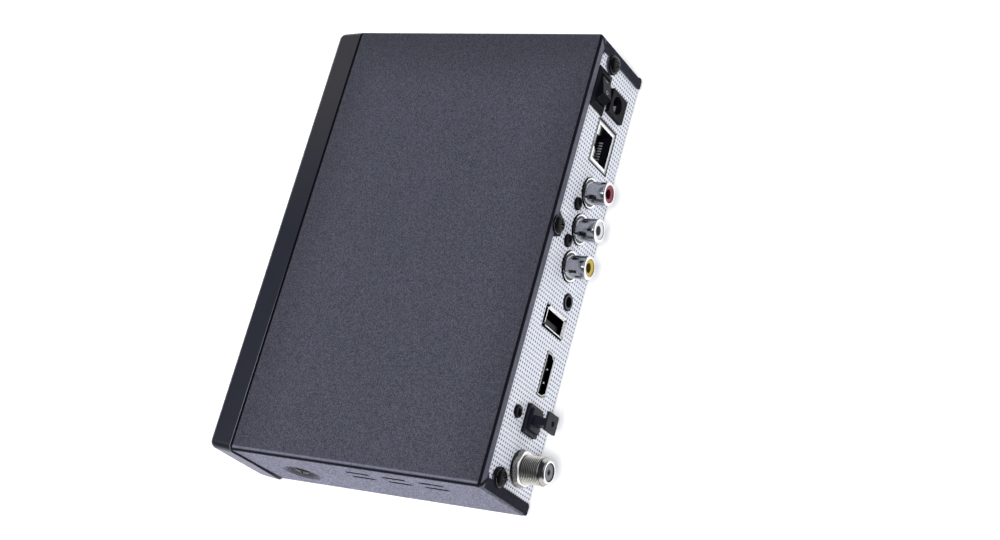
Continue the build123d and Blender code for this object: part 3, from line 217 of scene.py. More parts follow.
def piece(name, shapes, material, body=None, stands_for=(), crease=35.0, closed=True):
    """One mesh object from (points, quads) shapes in millimetres: doubles merged, faces outward,
    smooth except across edges sharper than crease degrees."""
    counts = np.cumsum([0] + [len(points) for points, _ in shapes])
    points = np.concatenate([points for points, _ in shapes]) * MM
    quads = np.concatenate([quads + start for (_, quads), start in zip(shapes, counts)])
    mesh = bpy.data.meshes.new(name)
    mesh.vertices.add(len(points))
    mesh.vertices.foreach_set("co", points.astype(np.float32).ravel())
    mesh.loops.add(quads.size)
    mesh.loops.foreach_set("vertex_index", quads.astype(np.int32).ravel())
    mesh.polygons.add(len(quads))
    mesh.polygons.foreach_set("loop_start", np.arange(0, quads.size, 4, dtype=np.int32))
    mesh.update(calc_edges=True)
    work = bmesh.new()
    work.from_mesh(mesh)
    bmesh.ops.remove_doubles(work, verts=work.verts, dist=1e-7)
    if closed:
        bmesh.ops.recalc_face_normals(work, faces=work.faces)
    work.to_mesh(mesh)
    work.free()
    mesh.polygons.foreach_set("use_smooth", np.ones(len(mesh.polygons), dtype=bool))
    mesh.set_sharp_from_angle(angle=np.radians(crease))
    made = bpy.data.objects.new(name, mesh)
    bpy.context.scene.collection.objects.link(made)
    mesh.materials.append(material)
    if body:
        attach(made, body)
    if stands_for:
        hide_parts(*stands_for)
    return made


floor_line = np.linspace(-4000, 4000, 9)
_u, _v = np.meshgrid(floor_line, floor_line, indexing="ij")
floor = piece("studio_floor", [sheet_grid(np.stack([_u, _v, 0 * _u], axis=-1))], floor_finish,
              closed=False)

# ---------------------------------------------------------------- top cover
# Top and sides are one sheet of 0.8 mm steel, punched, folded and powder-coated black.
# The coat is finely wrinkled. Light and shade on its folds, slots, rear flanges and rear lip are
# painted into its colour.
cover_low, cover_high = (np.array(corner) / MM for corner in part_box("top_cover"))


def minus(a, b):
    """The difference of two sockets or numbers."""
    return maths("SUBTRACT", a, b)


def all_of(*masks):
    """Where every mask holds: their product."""
    return reduce(lambda a, b: maths("MULTIPLY", a, b), masks)


def any_of(*masks):
    """Where at least one mask holds: the strongest of them."""
    return reduce(lambda a, b: maths("MAXIMUM", a, b), masks)


def band(value, start, full, until, end):
    """A mask that rises from start to full, holds until a level and has gone at end."""
    return all_of(span(value, start, full), fall(value, until, end))


def dress(material, *names):
    """Gives carried-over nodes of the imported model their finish."""
    for name in names:
        mesh = frame["nodes"][name].data
        mesh.materials.clear()
        mesh.materials.append(material)


powder_coat, _at, _x, _y, _z = begin("black_powder_coat", IOR=1.5, Specular_IOR_Level=0.36,
                                     Sheen_Weight=0.24, Sheen_Roughness=0.35,
                                     Sheen_Tint=(0.55, 0.58, 1.0, 1.0),
                                     Specular_Tint=(0.90, 0.91, 1.0, 1.0))
_wrinkle = cloud(_at, 0.9, 3.0, 0.6)
_tall = add("VectorMath", {"operation": "MULTIPLY"}, i0=_at, i1=(1.0, 1.0, 0.35)).outputs[0]
_grain = add("TexVoronoi", Vector=_tall, Scale=1 / 0.27)
_fleck = add("SeparateColor", i0=_grain.outputs["Color"]).outputs[0]
_tone = tint(span(cloud(_at, 9.0, 3.0), 0.35, 0.65), (0.034, 0.037, 0.050), (0.039, 0.037, 0.052))
_pale = tint(span(cloud(_at, 30.0, 2.0), 0.3, 0.7), (0.098, 0.102, 0.134), (0.106, 0.105, 0.140))
_tone = tint(_fleck, _tone, _pale)
_side = maths("ABSOLUTE", _x)
_from_front = minus(_y, cover_low[1])
_from_rear = minus(cover_high[1], _y)
_from_top = minus(cover_high[2], _z)
_from_side = minus(cover_high[0], _side)
# Painted shade: the top is darker towards its left, rear and front edges.
_from_left = maths("ADD", _x, cover_high[0])
_edge_shade = any_of(fall(_from_left, 0.0, 26.0), span(_from_rear, 0.0, 20.0, 0.7, 0.0),
               span(_from_front, 0.0, 18.0, 0.7, 0.0))
_edge_shade = all_of(_edge_shade, fall(_from_top, 1.0, 2.0))
_tone = tint(maths("MULTIPLY", _edge_shade, 0.42), _tone, (0.016, 0.016, 0.018))
# Round each fold, the difference of both distances runs from one face to the other.
_rear_fold = minus(_from_top, _from_rear)
_side_fold = minus(_from_top, _from_side)
# Painted shade: dark bands along the rear fold and along both side folds.
_fold_shade = any_of(all_of(band(_rear_fold, -0.70, -0.45, 0.75, 1.0), fall(_from_rear, 1.3, 1.6)),
               band(_side_fold, -0.50, -0.25, 1.0, 1.6))
# A painted highlight glints along the right-hand fold; painted shade makes the rear flanges black
# and painted light makes the rear lip grey.
_shine = all_of(band(_side_fold, -1.75, -1.25, -0.95, -0.55), span(_from_rear, 0.5, 1.2))
_shine = all_of(_shine, span(_x, 0.0, 10.0), span(_wrinkle, 0.25, 0.6, 0.45, 1.0))
_flange = all_of(fall(_from_rear, 0.05, 0.25), span(_from_top, 3.5, 3.7))
_lip = all_of(fall(_from_rear, 0.05, 0.25), fall(_from_top, 3.5, 3.7))
# The walls of the punched slots are in shade, and so is a rim round each slot's mouth.
slot_y, slot_pitch_y, slot_half_length = 13.2, 14.5, 4.6
slot_z, slot_pitch_z, slot_half_height = 23.9, 4.7, 0.78
periods_down = 10   # carries the folding of a pattern past the sheet's lower end
# Reach of the slots' walls and rims: where each begins, is full, stays full until, and ends.
walls_y, walls_z = (-6.5, -6.2, 32.6, 32.9), (22.6, 22.9, 29.6, 29.9)
rims_y, rims_z = (-6.9, -6.7, 33.2, 33.4), (21.6, 22.2, 30.2, 30.8)
_slots = all_of(span(_from_side, 0.03, 0.10), fall(_from_side, 1.2, 1.4), band(_z, *walls_z),
                band(_y, *walls_y))
_slot_y = maths("PINGPONG", minus(_y, slot_y - periods_down * slot_pitch_y), slot_pitch_y / 2)
_slot_z = maths("PINGPONG", minus(_z, slot_z - periods_down * slot_pitch_z), slot_pitch_z / 2)
_rims = all_of(fall(_slot_y, slot_half_length, slot_half_length + 0.2),
               fall(_slot_z, slot_half_height, slot_half_height + 0.14))
_rims = all_of(_rims, span(_side, 79.0, 79.3), band(_z, *rims_z), band(_y, *rims_y))
_slots = any_of(_slots, _rims)
# The dished seat of each side screw lies in painted shade, and a wedge of painted shade darkens
# each side next to the bezel.
_low, _high = (np.array(corner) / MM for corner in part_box("side_cover_screws"))
_dish = add("CombineXYZ", i0=0.0, i1=minus(_y, (_low[1] + _high[1]) / 2),
            i2=minus(_z, (_low[2] + _high[2]) / 2))
_dish = add("VectorMath", {"operation": "LENGTH"}, i0=_dish.outputs[0]).outputs["Value"]
_dish = all_of(fall(_dish, 5.2, 6.9), span(_side, 76.0, 77.0))
_wedge_shade = maths("ADD", _from_front, maths("MULTIPLY", _z, 0.055))
_wedge_shade = all_of(fall(_wedge_shade, 1.05, 1.2), span(_side, 78.5, 79.0))
# Painted highlight on the right-hand fold, then painted light on the rear lip.
_tone = tint(_shine, _tone, (0.20, 0.205, 0.27))
_tone = tint(_lip, _tone, (0.070, 0.072, 0.10))
# Painted shade: a black line along the top's front edge next to the bezel, and black along the
# left-hand fold and side. All the painted shade of folds, slots, wedge and edges is black.
_seam_shade = all_of(fall(_from_front, 0.30, 0.42), fall(_from_top, 1.0, 1.4))
_left_side_shade = all_of(fall(_from_side, 0.40, 0.70), fall(_x, -10.0, 0.0))
_black_shade = any_of(_fold_shade, _slots, _wedge_shade, _seam_shade)
_black_shade = any_of(_black_shade, _left_side_shade)
_tone = tint(maths("MULTIPLY", _dish, 0.8), _tone, (0.006, 0.006, 0.009))
# Painted shade on the rear flanges.
_tone = tint(_flange, _tone, (0.005, 0.005, 0.008))
put(powder_coat, "Base Color", tint(_black_shade, _tone, (0.003, 0.003, 0.005)))
_rough = span(_wrinkle, 0.3, 0.7, 0.38, 0.52)
_dull = any_of(_black_shade, _flange)
_rough = maths("ADD", _rough, maths("MULTIPLY", _dull, 0.45))
put(powder_coat, "Roughness", _rough)
_smooth = minus(1.0, maths("MULTIPLY", _dull, 0.85))
_bump = add("Bump", Height=all_of(_wrinkle, _smooth), Distance=0.06 * MM, Strength=1.0).outputs[0]
_spread = add("VectorMath", {"operation": "SUBTRACT"}, i0=_grain.outputs["Color"],
              i1=(0.5, 0.5, 0.5))
_spread = add("VectorMath", {"operation": "SCALE"}, i0=_spread.outputs[0],
              Scale=maths("MULTIPLY", _smooth, 0.34))
_tilted = add("VectorMath", {"operation": "ADD"}, i0=_bump, i1=_spread.outputs[0])
_tilted = add("VectorMath", {"operation": "NORMALIZE"}, i0=_tilted.outputs[0])
put(powder_coat, "Normal", _tilted.outputs[0])
dress(powder_coat, "top_cover")

# ---------------------------------------------------------------- tray
# Floor, rear wall and low side walls are folded from zinc-coated steel,
# whose crystals show as large pale and dark flakes.


def relief(material, height, depth):
    """Raises the surface by a height socket times a depth in millimetres."""
    bump = add("Bump", Height=height, Distance=depth * MM, Strength=1.0)
    put(material, "Normal", bump.outputs[0])


galvanised, _at, *_ = begin("galvanised_steel", Metallic=1.0, Roughness=0.38)
_flake = add("TexVoronoi", Vector=_at, Scale=1 / 7.0, Randomness=1.0)
_flake_tone = add("SeparateColor", i0=_flake.outputs["Color"]).outputs[0]
_streak = cloud(_at, 1.2, 3.0)
put(galvanised, "Base Color",
    tint(maths("MULTIPLY", _flake_tone, _streak), (0.46, 0.47, 0.49), (0.72, 0.73, 0.75)))
put(galvanised, "Roughness", span(_flake_tone, 0.0, 1.0, 0.30, 0.48))
relief(galvanised, _streak, 0.01)
dress(galvanised, "tray")

# ---------------------------------------------------------------- rear label
# Printed polyester foil, stuck over the rear wall, white with a close grid of grey-blue dots.
# The bare patches beside the sockets carry no words.
foil, _at, _x, _, _z = begin("printed_foil", Roughness=0.42, IOR=1.5)
dot_pitch, dot_radius, dot_soft = 1.465, 0.36, 0.05
dot_x, dot_z = 0.987, 4.41
dots_down = 20   # carries the folding of the pattern past the label's end
_across = maths("PINGPONG", minus(_x, dot_x - dots_down * dot_pitch), dot_pitch / 2)
_up = maths("PINGPONG", minus(_z, dot_z - dots_down * dot_pitch), dot_pitch / 2)
_far = maths("POWER",
             maths("ADD", maths("MULTIPLY", _across, _across), maths("MULTIPLY", _up, _up)), 0.5)
_dot = fall(_far, dot_radius - dot_soft, dot_radius + dot_soft)
_paper = tint(cloud(_at, 14.0), (0.88, 0.90, 0.98), (0.92, 0.935, 1.0))
put(foil, "Base Color", tint(_dot, _paper, (0.085, 0.09, 0.16)))
put(foil, "Roughness", span(cloud(_at, 0.8, 3.0), 0.3, 0.7, 0.36, 0.48))
relief(foil, cloud(_at, 0.5), 0.004)
dress(foil, "rear_label")

# ---------------------------------------------------------------- feet
# Four stick-on rubber discs under the tray.


def mottled(name, colour, gloss=None, grain=None, **sockets):
    """A finish in two mottled tones. Each mottle begins with the size and detail of its lumps; then
    come the two tones, the range of roughness, or the depth of the relief in millimetres."""
    material, at, *_ = begin(name, **sockets)
    size, detail, dark, pale = colour
    put(material, "Base Color", tint(cloud(at, size, detail), dark, pale))
    if gloss:
        size, detail, low, high = gloss
        put(material, "Roughness", span(cloud(at, size, detail), 0.3, 0.7, low, high))
    if grain:
        size, detail, depth = grain
        relief(material, cloud(at, size, detail), depth)
    return material


rubber = mottled("black_rubber", (1.5, 4.0, (0.020, 0.020, 0.020), (0.042, 0.041, 0.040)),
                 grain=(0.3, 3.0, 0.03), Roughness=0.85, IOR=1.45)
dress(rubber, "rubber_feet")

# ---------------------------------------------------------------- black screws
# Pan-head steel screws with a driver cross, blackened: three with a washer through the rear flanges
# and the tab, one in each side dimple, three small ones at the sockets.
blackened, _at, _x, _, _z = begin("black_screw", IOR=1.5, Specular_IOR_Level=0.13)
_tone = tint(cloud(_at, 0.8, 3.0), (0.002, 0.002, 0.003), (0.006, 0.006, 0.008))
put(blackened, "Roughness", span(cloud(_at, 0.4, 2.0), 0.3, 0.7, 0.13, 0.20))
relief(blackened, cloud(_at, 0.5, 1.0), 0.004)


def turned(profile, count=72, closed=False):
    """Each profile point (radius, height) goes round the Z axis: x = r cos a, y = r sin a,
    z = height."""
    profile = np.asarray(profile, float)
    angle = np.linspace(0, 2 * np.pi, count, endpoint=False)[:, None]
    points = np.stack([profile[:, 0] * np.cos(angle), profile[:, 0] * np.sin(angle),
                       profile[:, 1] + 0 * angle], axis=-1)
    return sheet_grid(points, loop_u=True, loop_v=closed)


def aimed(shape, place, axis):
    """Turns a shape's +Z to an axis and moves it to a place."""
    points, quads = shape
    axis = np.asarray(axis, float)
    side = np.array([1.0, 0, 0]) if abs(axis[0]) < 0.9 else np.array([0, 0, 1.0])
    other = np.cross(axis, side)
    return points @ np.stack([side, other, axis]) + np.asarray(place, float), quads


def pan_head(radius, height, cross, depth, turn=0.0, rows=30, count=96):
    """A dome with rounded rim, z = height (1 - (r / radius)^3.2)^(1/3.2), less a driver cross:
    two crossed bars whose sides slope down to depth."""
    reach = np.linspace(0, 1, rows) ** 0.9
    angle = np.linspace(0, 2 * np.pi, count, endpoint=False)[:, None]
    r = reach * radius
    dome = height * (1 - reach ** 3.2) ** (1 / 3.2)
    along = r * np.cos(angle + turn)
    across = r * np.sin(angle + turn)
    wide, long = cross

    def bar(a, b):
        side = np.clip((wide / 2 + 0.07 - np.abs(b)) / 0.14, 0, 1)
        end = np.clip((long / 2 + 0.15 - np.abs(a)) / 0.5, 0, 1)
        return side * end

    recess = depth * np.maximum(bar(along, across), bar(across, along))
    z = np.maximum(dome - recess, 0.02)
    z[:, -1] = 0.0
    return sheet_grid(np.stack([r * np.cos(angle), r * np.sin(angle), z], axis=-1), loop_u=True)


def screw(place, axis, radius, height, shank, length, washer=None, turn=0.3):
    """A pan-head screw: head, washer if any, underside and shank. It bears on the plane
    through place."""
    rise = washer[1] if washer else 0.0
    head_points, head_quads = pan_head(radius, height, (0.55, 2.6 * radius / 2.7), 0.75 * height,
                                       turn)
    head_points = head_points + (0, 0, rise)
    shapes = [(head_points, head_quads)]
    under = [(radius, rise), (shank, rise), (shank, -length + 0.4), (shank - 0.4, -length),
             (0, -length)]
    if washer:
        wide = washer[0]
        under = [(radius, rise), (wide - 0.08, rise), (wide, rise - 0.08), (wide, 0.06),
                 (wide - 0.06, 0), (shank, 0), *under[2:]]
    shapes.append(turned(under, 96))
    return [aimed(shape, place, axis) for shape in shapes]


def middles(node):
    """Centres of a node's separate solids, found by joining its touching triangles."""
    work = bmesh.new()
    work.from_mesh(frame["nodes"][node].data)
    bmesh.ops.remove_doubles(work, verts=work.verts, dist=1e-6)
    left, found = set(work.verts), []
    while left:
        group, edge = set(), [left.pop()]
        while edge:
            vertex = edge.pop()
            group.add(vertex)
            near = {e.other_vert(vertex) for e in vertex.link_edges} & left
            left -= near
            edge += near
        points = np.array([v.co for v in group]) / MM
        found.append((points.min(0) + points.max(0)) / 2)
    work.free()
    return sorted(found, key=lambda centre: tuple(np.round(centre, 3)))


def off_axis(x, z, middle_x, middle_z):
    """Distance from a line along Y through (middle_x, middle_z)."""
    off = add("CombineXYZ", i0=minus(x, middle_x), i1=0.0, i2=minus(z, middle_z))
    return add("VectorMath", {"operation": "LENGTH"}, i0=off.outputs[0]).outputs["Value"]


# Painted glints: the washers' rims and the middle round the driver cross of the rear screws are
# painted paler.
_far = [off_axis(_x, _z, centre[0], centre[2]) for centre in middles("rear_cover_screws")]
_far = reduce(lambda a, b: maths("MINIMUM", a, b), _far)
_painted_glint = any_of(band(_far, 2.78, 2.88, 3.02, 3.14), span(_far, 0.55, 0.95, 0.8, 0.0))
_painted_glint = all_of(_painted_glint, span(cloud(_at, 1.2, 2.0), 0.35, 0.6))
put(blackened, "Base Color", tint(_painted_glint, _tone, (0.16, 0.155, 0.16)))
cover_screw = (2.7, 1.3, 1.4, 6.0)     # head radius and height, shank radius and length
socket_screw = (2.3, 1.1, 1.15, 6.0)
washer_size = (3.4, 0.5)               # radius, thickness
dimple_depth = 1.5                     # seat of a side screw behind the cover's side
shapes = []
for turn, centre in zip((0.3, 1.1, 0.75), middles("rear_cover_screws")):
    shapes += screw((centre[0], cover_high[1], centre[2]), (0, 1, 0), *cover_screw, washer_size,
                    turn)
piece("rear_screws", shapes, blackened, "case", ["rear_cover_screws"])
shapes = []
for side, centre in zip((-1, 1), middles("side_cover_screws")):
    seat_x = side * (cover_high[0] - dimple_depth)
    shapes += screw((seat_x, centre[1], centre[2]), (side, 0, 0), *cover_screw, None, 0.5)
piece("side_screws", shapes, blackened, "case", ["side_cover_screws"])
label_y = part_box("rear_label")[1].y / MM
shapes = []
for turn, centre in zip((0.2, 0.9, 0.5), middles("connector_screws")):
    shapes += screw((centre[0], label_y, centre[2]), (0, 1, 0), *socket_screw, None, turn)
piece("socket_screws", shapes, blackened, "case", ["connector_screws"])
dress(blackened, "front_board_screws")

# ---------------------------------------------------------------- front bezel, window and buttons
# The bezel is moulded in bluish black plastic with a fine spark-eroded grain; its sides, left end
# and rear rim carry painted light and shade.
# A smoked acrylic window covers the display, and three round caps press the switches behind them.


def faces_out():
    """A mask of the surfaces that look out of the rear wall rather than along it."""
    normal = add("NewGeometry").outputs["True Normal"]
    return span(add("SeparateXYZ", i0=normal).outputs[1], 0.3, 0.45)


bezel_finish, _at, _x, _y, _z = begin("bezel_plastic", IOR=1.5, Sheen_Weight=0.17,
                                      Sheen_Roughness=0.4, Sheen_Tint=(0.62, 0.60, 1.0, 1.0),
                                      Specular_Tint=(0.92, 0.90, 1.0, 1.0))
_tone = tint(cloud(_at, 6.0, 3.0), (0.006, 0.008, 0.014), (0.010, 0.012, 0.020))
# Painted light: the bezel grows paler towards its left-hand end.
_tone = tint(span(_x, 5.0, -70.0), _tone, (0.034, 0.033, 0.036))
# Painted light: the faces that look sideways are paler.
_way = add("SeparateXYZ", i0=add("NewGeometry").outputs["True Normal"])
_tone = tint(span(maths("ABSOLUTE", _way.outputs[0]), 0.75, 0.95), _tone, (0.060, 0.056, 0.075))
_rear_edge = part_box("top_cover")[0].y / MM - 0.6
# Painted highlight: a pale line along the top of the rear rim, on the right-hand half.
_rim = all_of(span(_y, _rear_edge - 0.30, _rear_edge - 0.22), span(_z, 34.0, 35.5))
_rim = all_of(_rim, span(_x, 0.0, 60.0))
_tone = tint(_rim, _tone, (0.20, 0.21, 0.24))
# Painted highlight and shade at the left-hand end: a pale line, then black at the very end.
_left_end = maths("ADD", maths("ADD", _x, -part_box("front_bezel")[0].x / MM),
                  maths("MULTIPLY", minus(_y, _rear_edge), 0.09))
_tone = tint(band(_left_end, 0.45, 0.60, 0.80, 0.95), _tone, (0.10, 0.10, 0.105))
_tone = tint(fall(_left_end, 0.45, 0.60), _tone, (0.002, 0.002, 0.003))
# Painted shade: everything behind the rear edge, and every face that looks towards the rear, is
# black.
_gap_shade = any_of(span(_y, _rear_edge - 0.06, _rear_edge - 0.02), faces_out())
put(bezel_finish, "Base Color", tint(_gap_shade, _tone, (0.001, 0.001, 0.001)))
put(bezel_finish, "Roughness", span(cloud(_at, 0.5, 2.0), 0.3, 0.7, 0.36, 0.48))
relief(bezel_finish, cloud(_at, 0.35, 2.0), 0.012)
dress(bezel_finish, "front_bezel")

moulded = mottled("black_plastic", (3.0, 3.0, (0.003, 0.003, 0.005), (0.006, 0.006, 0.010)),
                  gloss=(0.5, 2.0, 0.32, 0.44), grain=(0.25, 2.0, 0.010), IOR=1.5,
                  Specular_IOR_Level=0.06)
dress(moulded, "infrared_receiver", "tact_switches", "front_header", "optical_socket",
      "video_socket_insulator", "phono_block", "lan_housing", "power_inlet",
      "switch_frame")

plug_plastic = mottled("plug_plastic", (3.0, 3.0, (0.009, 0.011, 0.017), (0.014, 0.016, 0.024)),
                       gloss=(0.5, 2.0, 0.28, 0.40), grain=(0.3, 2.0, 0.008), IOR=1.5,
                       Specular_IOR_Level=0.16)
dress(plug_plastic, "dust_plug")

jack_plastic, _at, _x, _y, _z = begin("jack_plastic", IOR=1.5, Specular_IOR_Level=0.10)
_low, _high = (np.array(corner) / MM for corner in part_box("serial_jack"))
jack_z = 11.5
_far = off_axis(_x, _z, (_low[0] + _high[0]) / 2, jack_z)
# Painted glint: a pale ring round the jack's mouth.
_painted_glint = all_of(band(_far, 2.0, 2.12, 2.3, 2.42), span(_y, _high[1] - 0.3, _high[1] - 0.2))
_tone = tint(cloud(_at, 2.0, 3.0), (0.003, 0.003, 0.005), (0.006, 0.006, 0.009))
put(jack_plastic, "Base Color", tint(_painted_glint, _tone, (0.16, 0.17, 0.20)))
put(jack_plastic, "Roughness", span(cloud(_at, 0.5, 2.0), 0.3, 0.7, 0.28, 0.40))
dress(jack_plastic, "serial_jack")

smoked = mottled("smoked_window", (20.0, 2.0, (0.010, 0.008, 0.008), (0.022, 0.015, 0.014)),
                 gloss=(3.0, 3.0, 0.04, 0.11), Roughness=0.06, IOR=1.49, Specular_IOR_Level=0.18)
dress(smoked, "front_window")


def button_finish(node, mark):
    """Moulded cap with a pale printed mark, worked out from the distance to the cap's middle."""
    low, high = (np.array(corner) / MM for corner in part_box(node))
    material, at, x, y, z = begin(node + "_cap", Roughness=0.38, IOR=1.5)
    u = minus(x, (low[0] + high[0]) / 2)
    v = minus(z, (low[2] + high[2]) / 2)
    if mark == "ring":
        far = maths("POWER", maths("ADD", maths("MULTIPLY", u, u), maths("MULTIPLY", v, v)), 0.5)
        ring = fall(maths("ABSOLUTE", minus(far, 1.25)), 0.12, 0.20)
        open_top = any_of(span(maths("ABSOLUTE", u), 0.30, 0.42), fall(v, 0.0, 0.1))
        bar = maths("MULTIPLY", fall(maths("ABSOLUTE", u), 0.10, 0.18),
                    fall(maths("ABSOLUTE", minus(v, 1.1)), 0.62, 0.70))
        printed = any_of(maths("MULTIPLY", ring, open_top), bar)
    else:
        rise = maths("MULTIPLY", v, 1.0 if mark == "up" else -1.0)
        slope = maths("ADD", maths("MULTIPLY", maths("ABSOLUTE", u), 1.5), rise)
        printed = maths("MULTIPLY", fall(slope, 0.95, 1.05), span(rise, -0.85, -0.75))
    front = fall(y, high[1] - 1.0, high[1] - 0.9)
    base = tint(cloud(at, 3.0, 3.0), (0.011, 0.012, 0.015), (0.018, 0.019, 0.023))
    put(material, "Base Color", tint(maths("MULTIPLY", printed, front), base, (0.45, 0.46, 0.48)))
    relief(material, cloud(at, 0.25, 2.0), 0.008)
    dress(material, node)


button_finish("power_button", "ring")
button_finish("channel_down_button", "down")
button_finish("channel_up_button", "up")

# ---------------------------------------------------------------- front board and display
# Glass-fibre board behind the bezel, with a display block, a standby lamp and a remote-control eye.
board_green, _at, *_ = begin("circuit_board", Roughness=0.35, IOR=1.5)
_cells = add("TexVoronoi", {"feature": "DISTANCE_TO_EDGE"}, Vector=_at, Scale=1 / 3.2)
_track = fall(_cells.outputs["Distance"], 0.05, 0.09)
_lacquer = tint(cloud(_at, 8.0, 3.0), (0.010, 0.085, 0.030), (0.014, 0.11, 0.042))
put(board_green, "Base Color", tint(_track, _lacquer, (0.03, 0.19, 0.075)))
relief(board_green, _track, 0.03)
dress(board_green, "front_board", "main_board")

display_face = mottled("display_face", (2.0, 3.0, (0.012, 0.012, 0.013), (0.03, 0.03, 0.032)),
                       Roughness=0.2, IOR=1.5)
dress(display_face, "display_module")

clear_lamp = mottled("clear_lamp", (0.8, 3.0, (0.72, 0.74, 0.74), (0.88, 0.90, 0.89)),
                     grain=(0.4, 2.0, 0.01), Roughness=0.12, IOR=1.5, Transmission_Weight=0.35)
dress(clear_lamp, "standby_lamp", "lan_lamps")

# ---------------------------------------------------------------- main board parts
# Chips in black resin, an extruded heat sink, sleeved capacitors, ferrite coils and
# zinc-plated screws.
resin = mottled("chip_black", (0.5, 4.0, (0.016, 0.016, 0.017), (0.036, 0.036, 0.038)),
                grain=(0.2, 2.0, 0.02), Roughness=0.6, IOR=1.5)
dress(resin, "processor", "memory_chips", "flash_chip", "coils")

aluminium, _at, *_ = begin("bare_aluminium", Metallic=1.0, Roughness=0.35)
_long = add("VectorMath", {"operation": "MULTIPLY"}, i0=_at, i1=(6.0, 0.05, 6.0)).outputs[0]
_drawn = add("TexNoise", Vector=_long, Scale=1.0, Detail=2.0).outputs[0]
put(aluminium, "Base Color", tint(_drawn, (0.66, 0.67, 0.68), (0.84, 0.85, 0.86)))
put(aluminium, "Roughness", span(_drawn, 0.3, 0.7, 0.28, 0.45))
relief(aluminium, _drawn, 0.01)
dress(aluminium, "heat_sink")

sleeve = mottled("capacitor_sleeve", (2.0, 2.0, (0.012, 0.012, 0.030), (0.022, 0.022, 0.050)),
                 gloss=(1.0, 2.0, 0.2, 0.32), Roughness=0.25, IOR=1.5)
dress(sleeve, "capacitors")

plated, _at, *_ = begin("plated_steel", Metallic=1.0, Roughness=0.27)
_rub = cloud(_at, 0.7, 3.0)
put(plated, "Base Color", tint(_rub, (0.62, 0.62, 0.64), (0.82, 0.82, 0.83)))
put(plated, "Roughness", span(_rub, 0.3, 0.7, 0.2, 0.36))
relief(plated, _rub, 0.006)
dress(plated, "board_screws", "tuner_can", "phono_contacts", "power_pin")

# Contacts of tinned bronze, duller than the plated screens. Those of the network socket are painted
# dark as shade where they lie deep in it.
tinned, _at, _x, _y, *_ = begin("tinned_bronze", Metallic=0.35, Roughness=0.4)
_tone = tint(cloud(_at, 0.7, 3.0), (0.55, 0.55, 0.55), (0.74, 0.74, 0.75))
network_from_x, shaded_below_y = -55.0, 44.6
_deep_shade = all_of(span(_x, network_from_x, network_from_x + 1.0),
               span(_y, shaded_below_y, shaded_below_y + 0.6, 1.0, 0.25))
put(tinned, "Base Color", tint(_deep_shade, _tone, (0.035, 0.035, 0.038)))
relief(tinned, cloud(_at, 0.3), 0.005)
dress(tinned, "power_spring", "lan_contacts")

# ---------------------------------------------------------------- network, USB and video sockets
# Screens folded from tinned sheet: bright at faces and lips, dark inside where no light falls.
# The network socket's face has its latch cut-out painted black as shade, and a grey band of painted
# shade along its top stands for the screen's top edge.
network_screen, _at, _x, _y, _z = begin("network_screen", Metallic=1.0, Roughness=0.25)
_low, _high = (np.array(corner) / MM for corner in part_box("lan_shield"))
_sideways = maths("ABSOLUTE", minus(_x, (_low[0] + _high[0]) / 2))
latch_half, latch_low, latch_high = 2.25, 20.3, 21.2   # cut-out for the plug's latch
cheek_half, sill_z = 6.95, 10.0                        # greyer cheeks and lower edge
gap_shade_half, gap_shade_top = 7.45, 22.1                 # the gap round the screen's face, painted as a black line of shade
_mottle = cloud(_at, 0.8, 3.0)
_tone = tint(_mottle, (0.86, 0.87, 0.86), (1.0, 1.0, 1.0))
# Painted shade: a grey band along the top of the face, for the screen's top edge seen in shade.
_edge = span(_z, _high[2] - 1.25, _high[2] - 1.1)
_tone = tint(_edge, _tone, tint(span(_mottle, 0.35, 0.65), (0.13, 0.13, 0.13), (0.34, 0.33, 0.35)))
# Painted shade: the latch cut-out is black.
_tone = tint(all_of(fall(_sideways, latch_half, latch_half + 0.15),
                    band(_z, latch_low, latch_low + 0.1, latch_high, latch_high + 0.1)), _tone,
             (0.004, 0.004, 0.004))
_tone = tint(all_of(span(_sideways, cheek_half, cheek_half + 0.15), fall(_edge, 0.0, 1.0)), _tone,
             (0.42, 0.42, 0.43))
_tone = tint(fall(_z, sill_z, sill_z + 0.15), _tone, (0.50, 0.50, 0.50))
# Painted shade: a black line round the face, for the gap round the screen.
_tone = tint(any_of(span(_sideways, gap_shade_half, gap_shade_half + 0.1),
                    span(_z, gap_shade_top, gap_shade_top + 0.1)), _tone, (0.005, 0.005, 0.006))
# Painted shade: all but the screen's front face is near black.
_lit_part = all_of(faces_out(), span(_y, _high[1] - 0.5, _high[1] - 0.4))
put(network_screen, "Base Color", tint(_lit_part, (0.02, 0.02, 0.02), _tone))
put(network_screen, "Roughness", span(_mottle, 0.3, 0.7, 0.2, 0.34))
dress(network_screen, "lan_shield")

tin_screen, _at, _x, _y, _z = begin("tinned_screen", Roughness=0.25)
lip_y, usb_right, video_left = 49.02, 22.0, 24.0
video_x, spring_off_x, spring_half, spring_top = 34.15, 2.35, 0.24, 12.0   # two contact springs
# Painted shade: inside the shells, away from their front faces and lips, all is dark. Painted
# light: the USB shell's flared lips are paler and less metallic than the video shell's face.
_rim = all_of(faces_out(), span(_y, lip_y, lip_y + 0.08))
_flare = all_of(_rim, fall(_x, usb_right, video_left))
_rub = cloud(_at, 0.7, 2.0)
_springs = maths("ABSOLUTE", minus(_x, video_x))
_springs = maths("ABSOLUTE", minus(_springs, spring_off_x))
_springs = all_of(fall(_springs, spring_half, spring_half + 0.1),
                  band(_y, 47.45, 47.55, 48.0, 48.1))
_springs = all_of(_springs, fall(_z, spring_top, spring_top + 0.2))
_tone = tint(_rim, (0.008, 0.008, 0.008), tint(_flare, (0.55, 0.55, 0.54), (0.99, 0.99, 0.99)))
put(tin_screen, "Base Color", tint(_springs, _tone, (0.95, 0.95, 0.95)))
_dull = any_of(maths("MULTIPLY", _springs, 0.9), maths("MULTIPLY", _flare, 0.55))
put(tin_screen, "Metallic", minus(1.0, _dull))
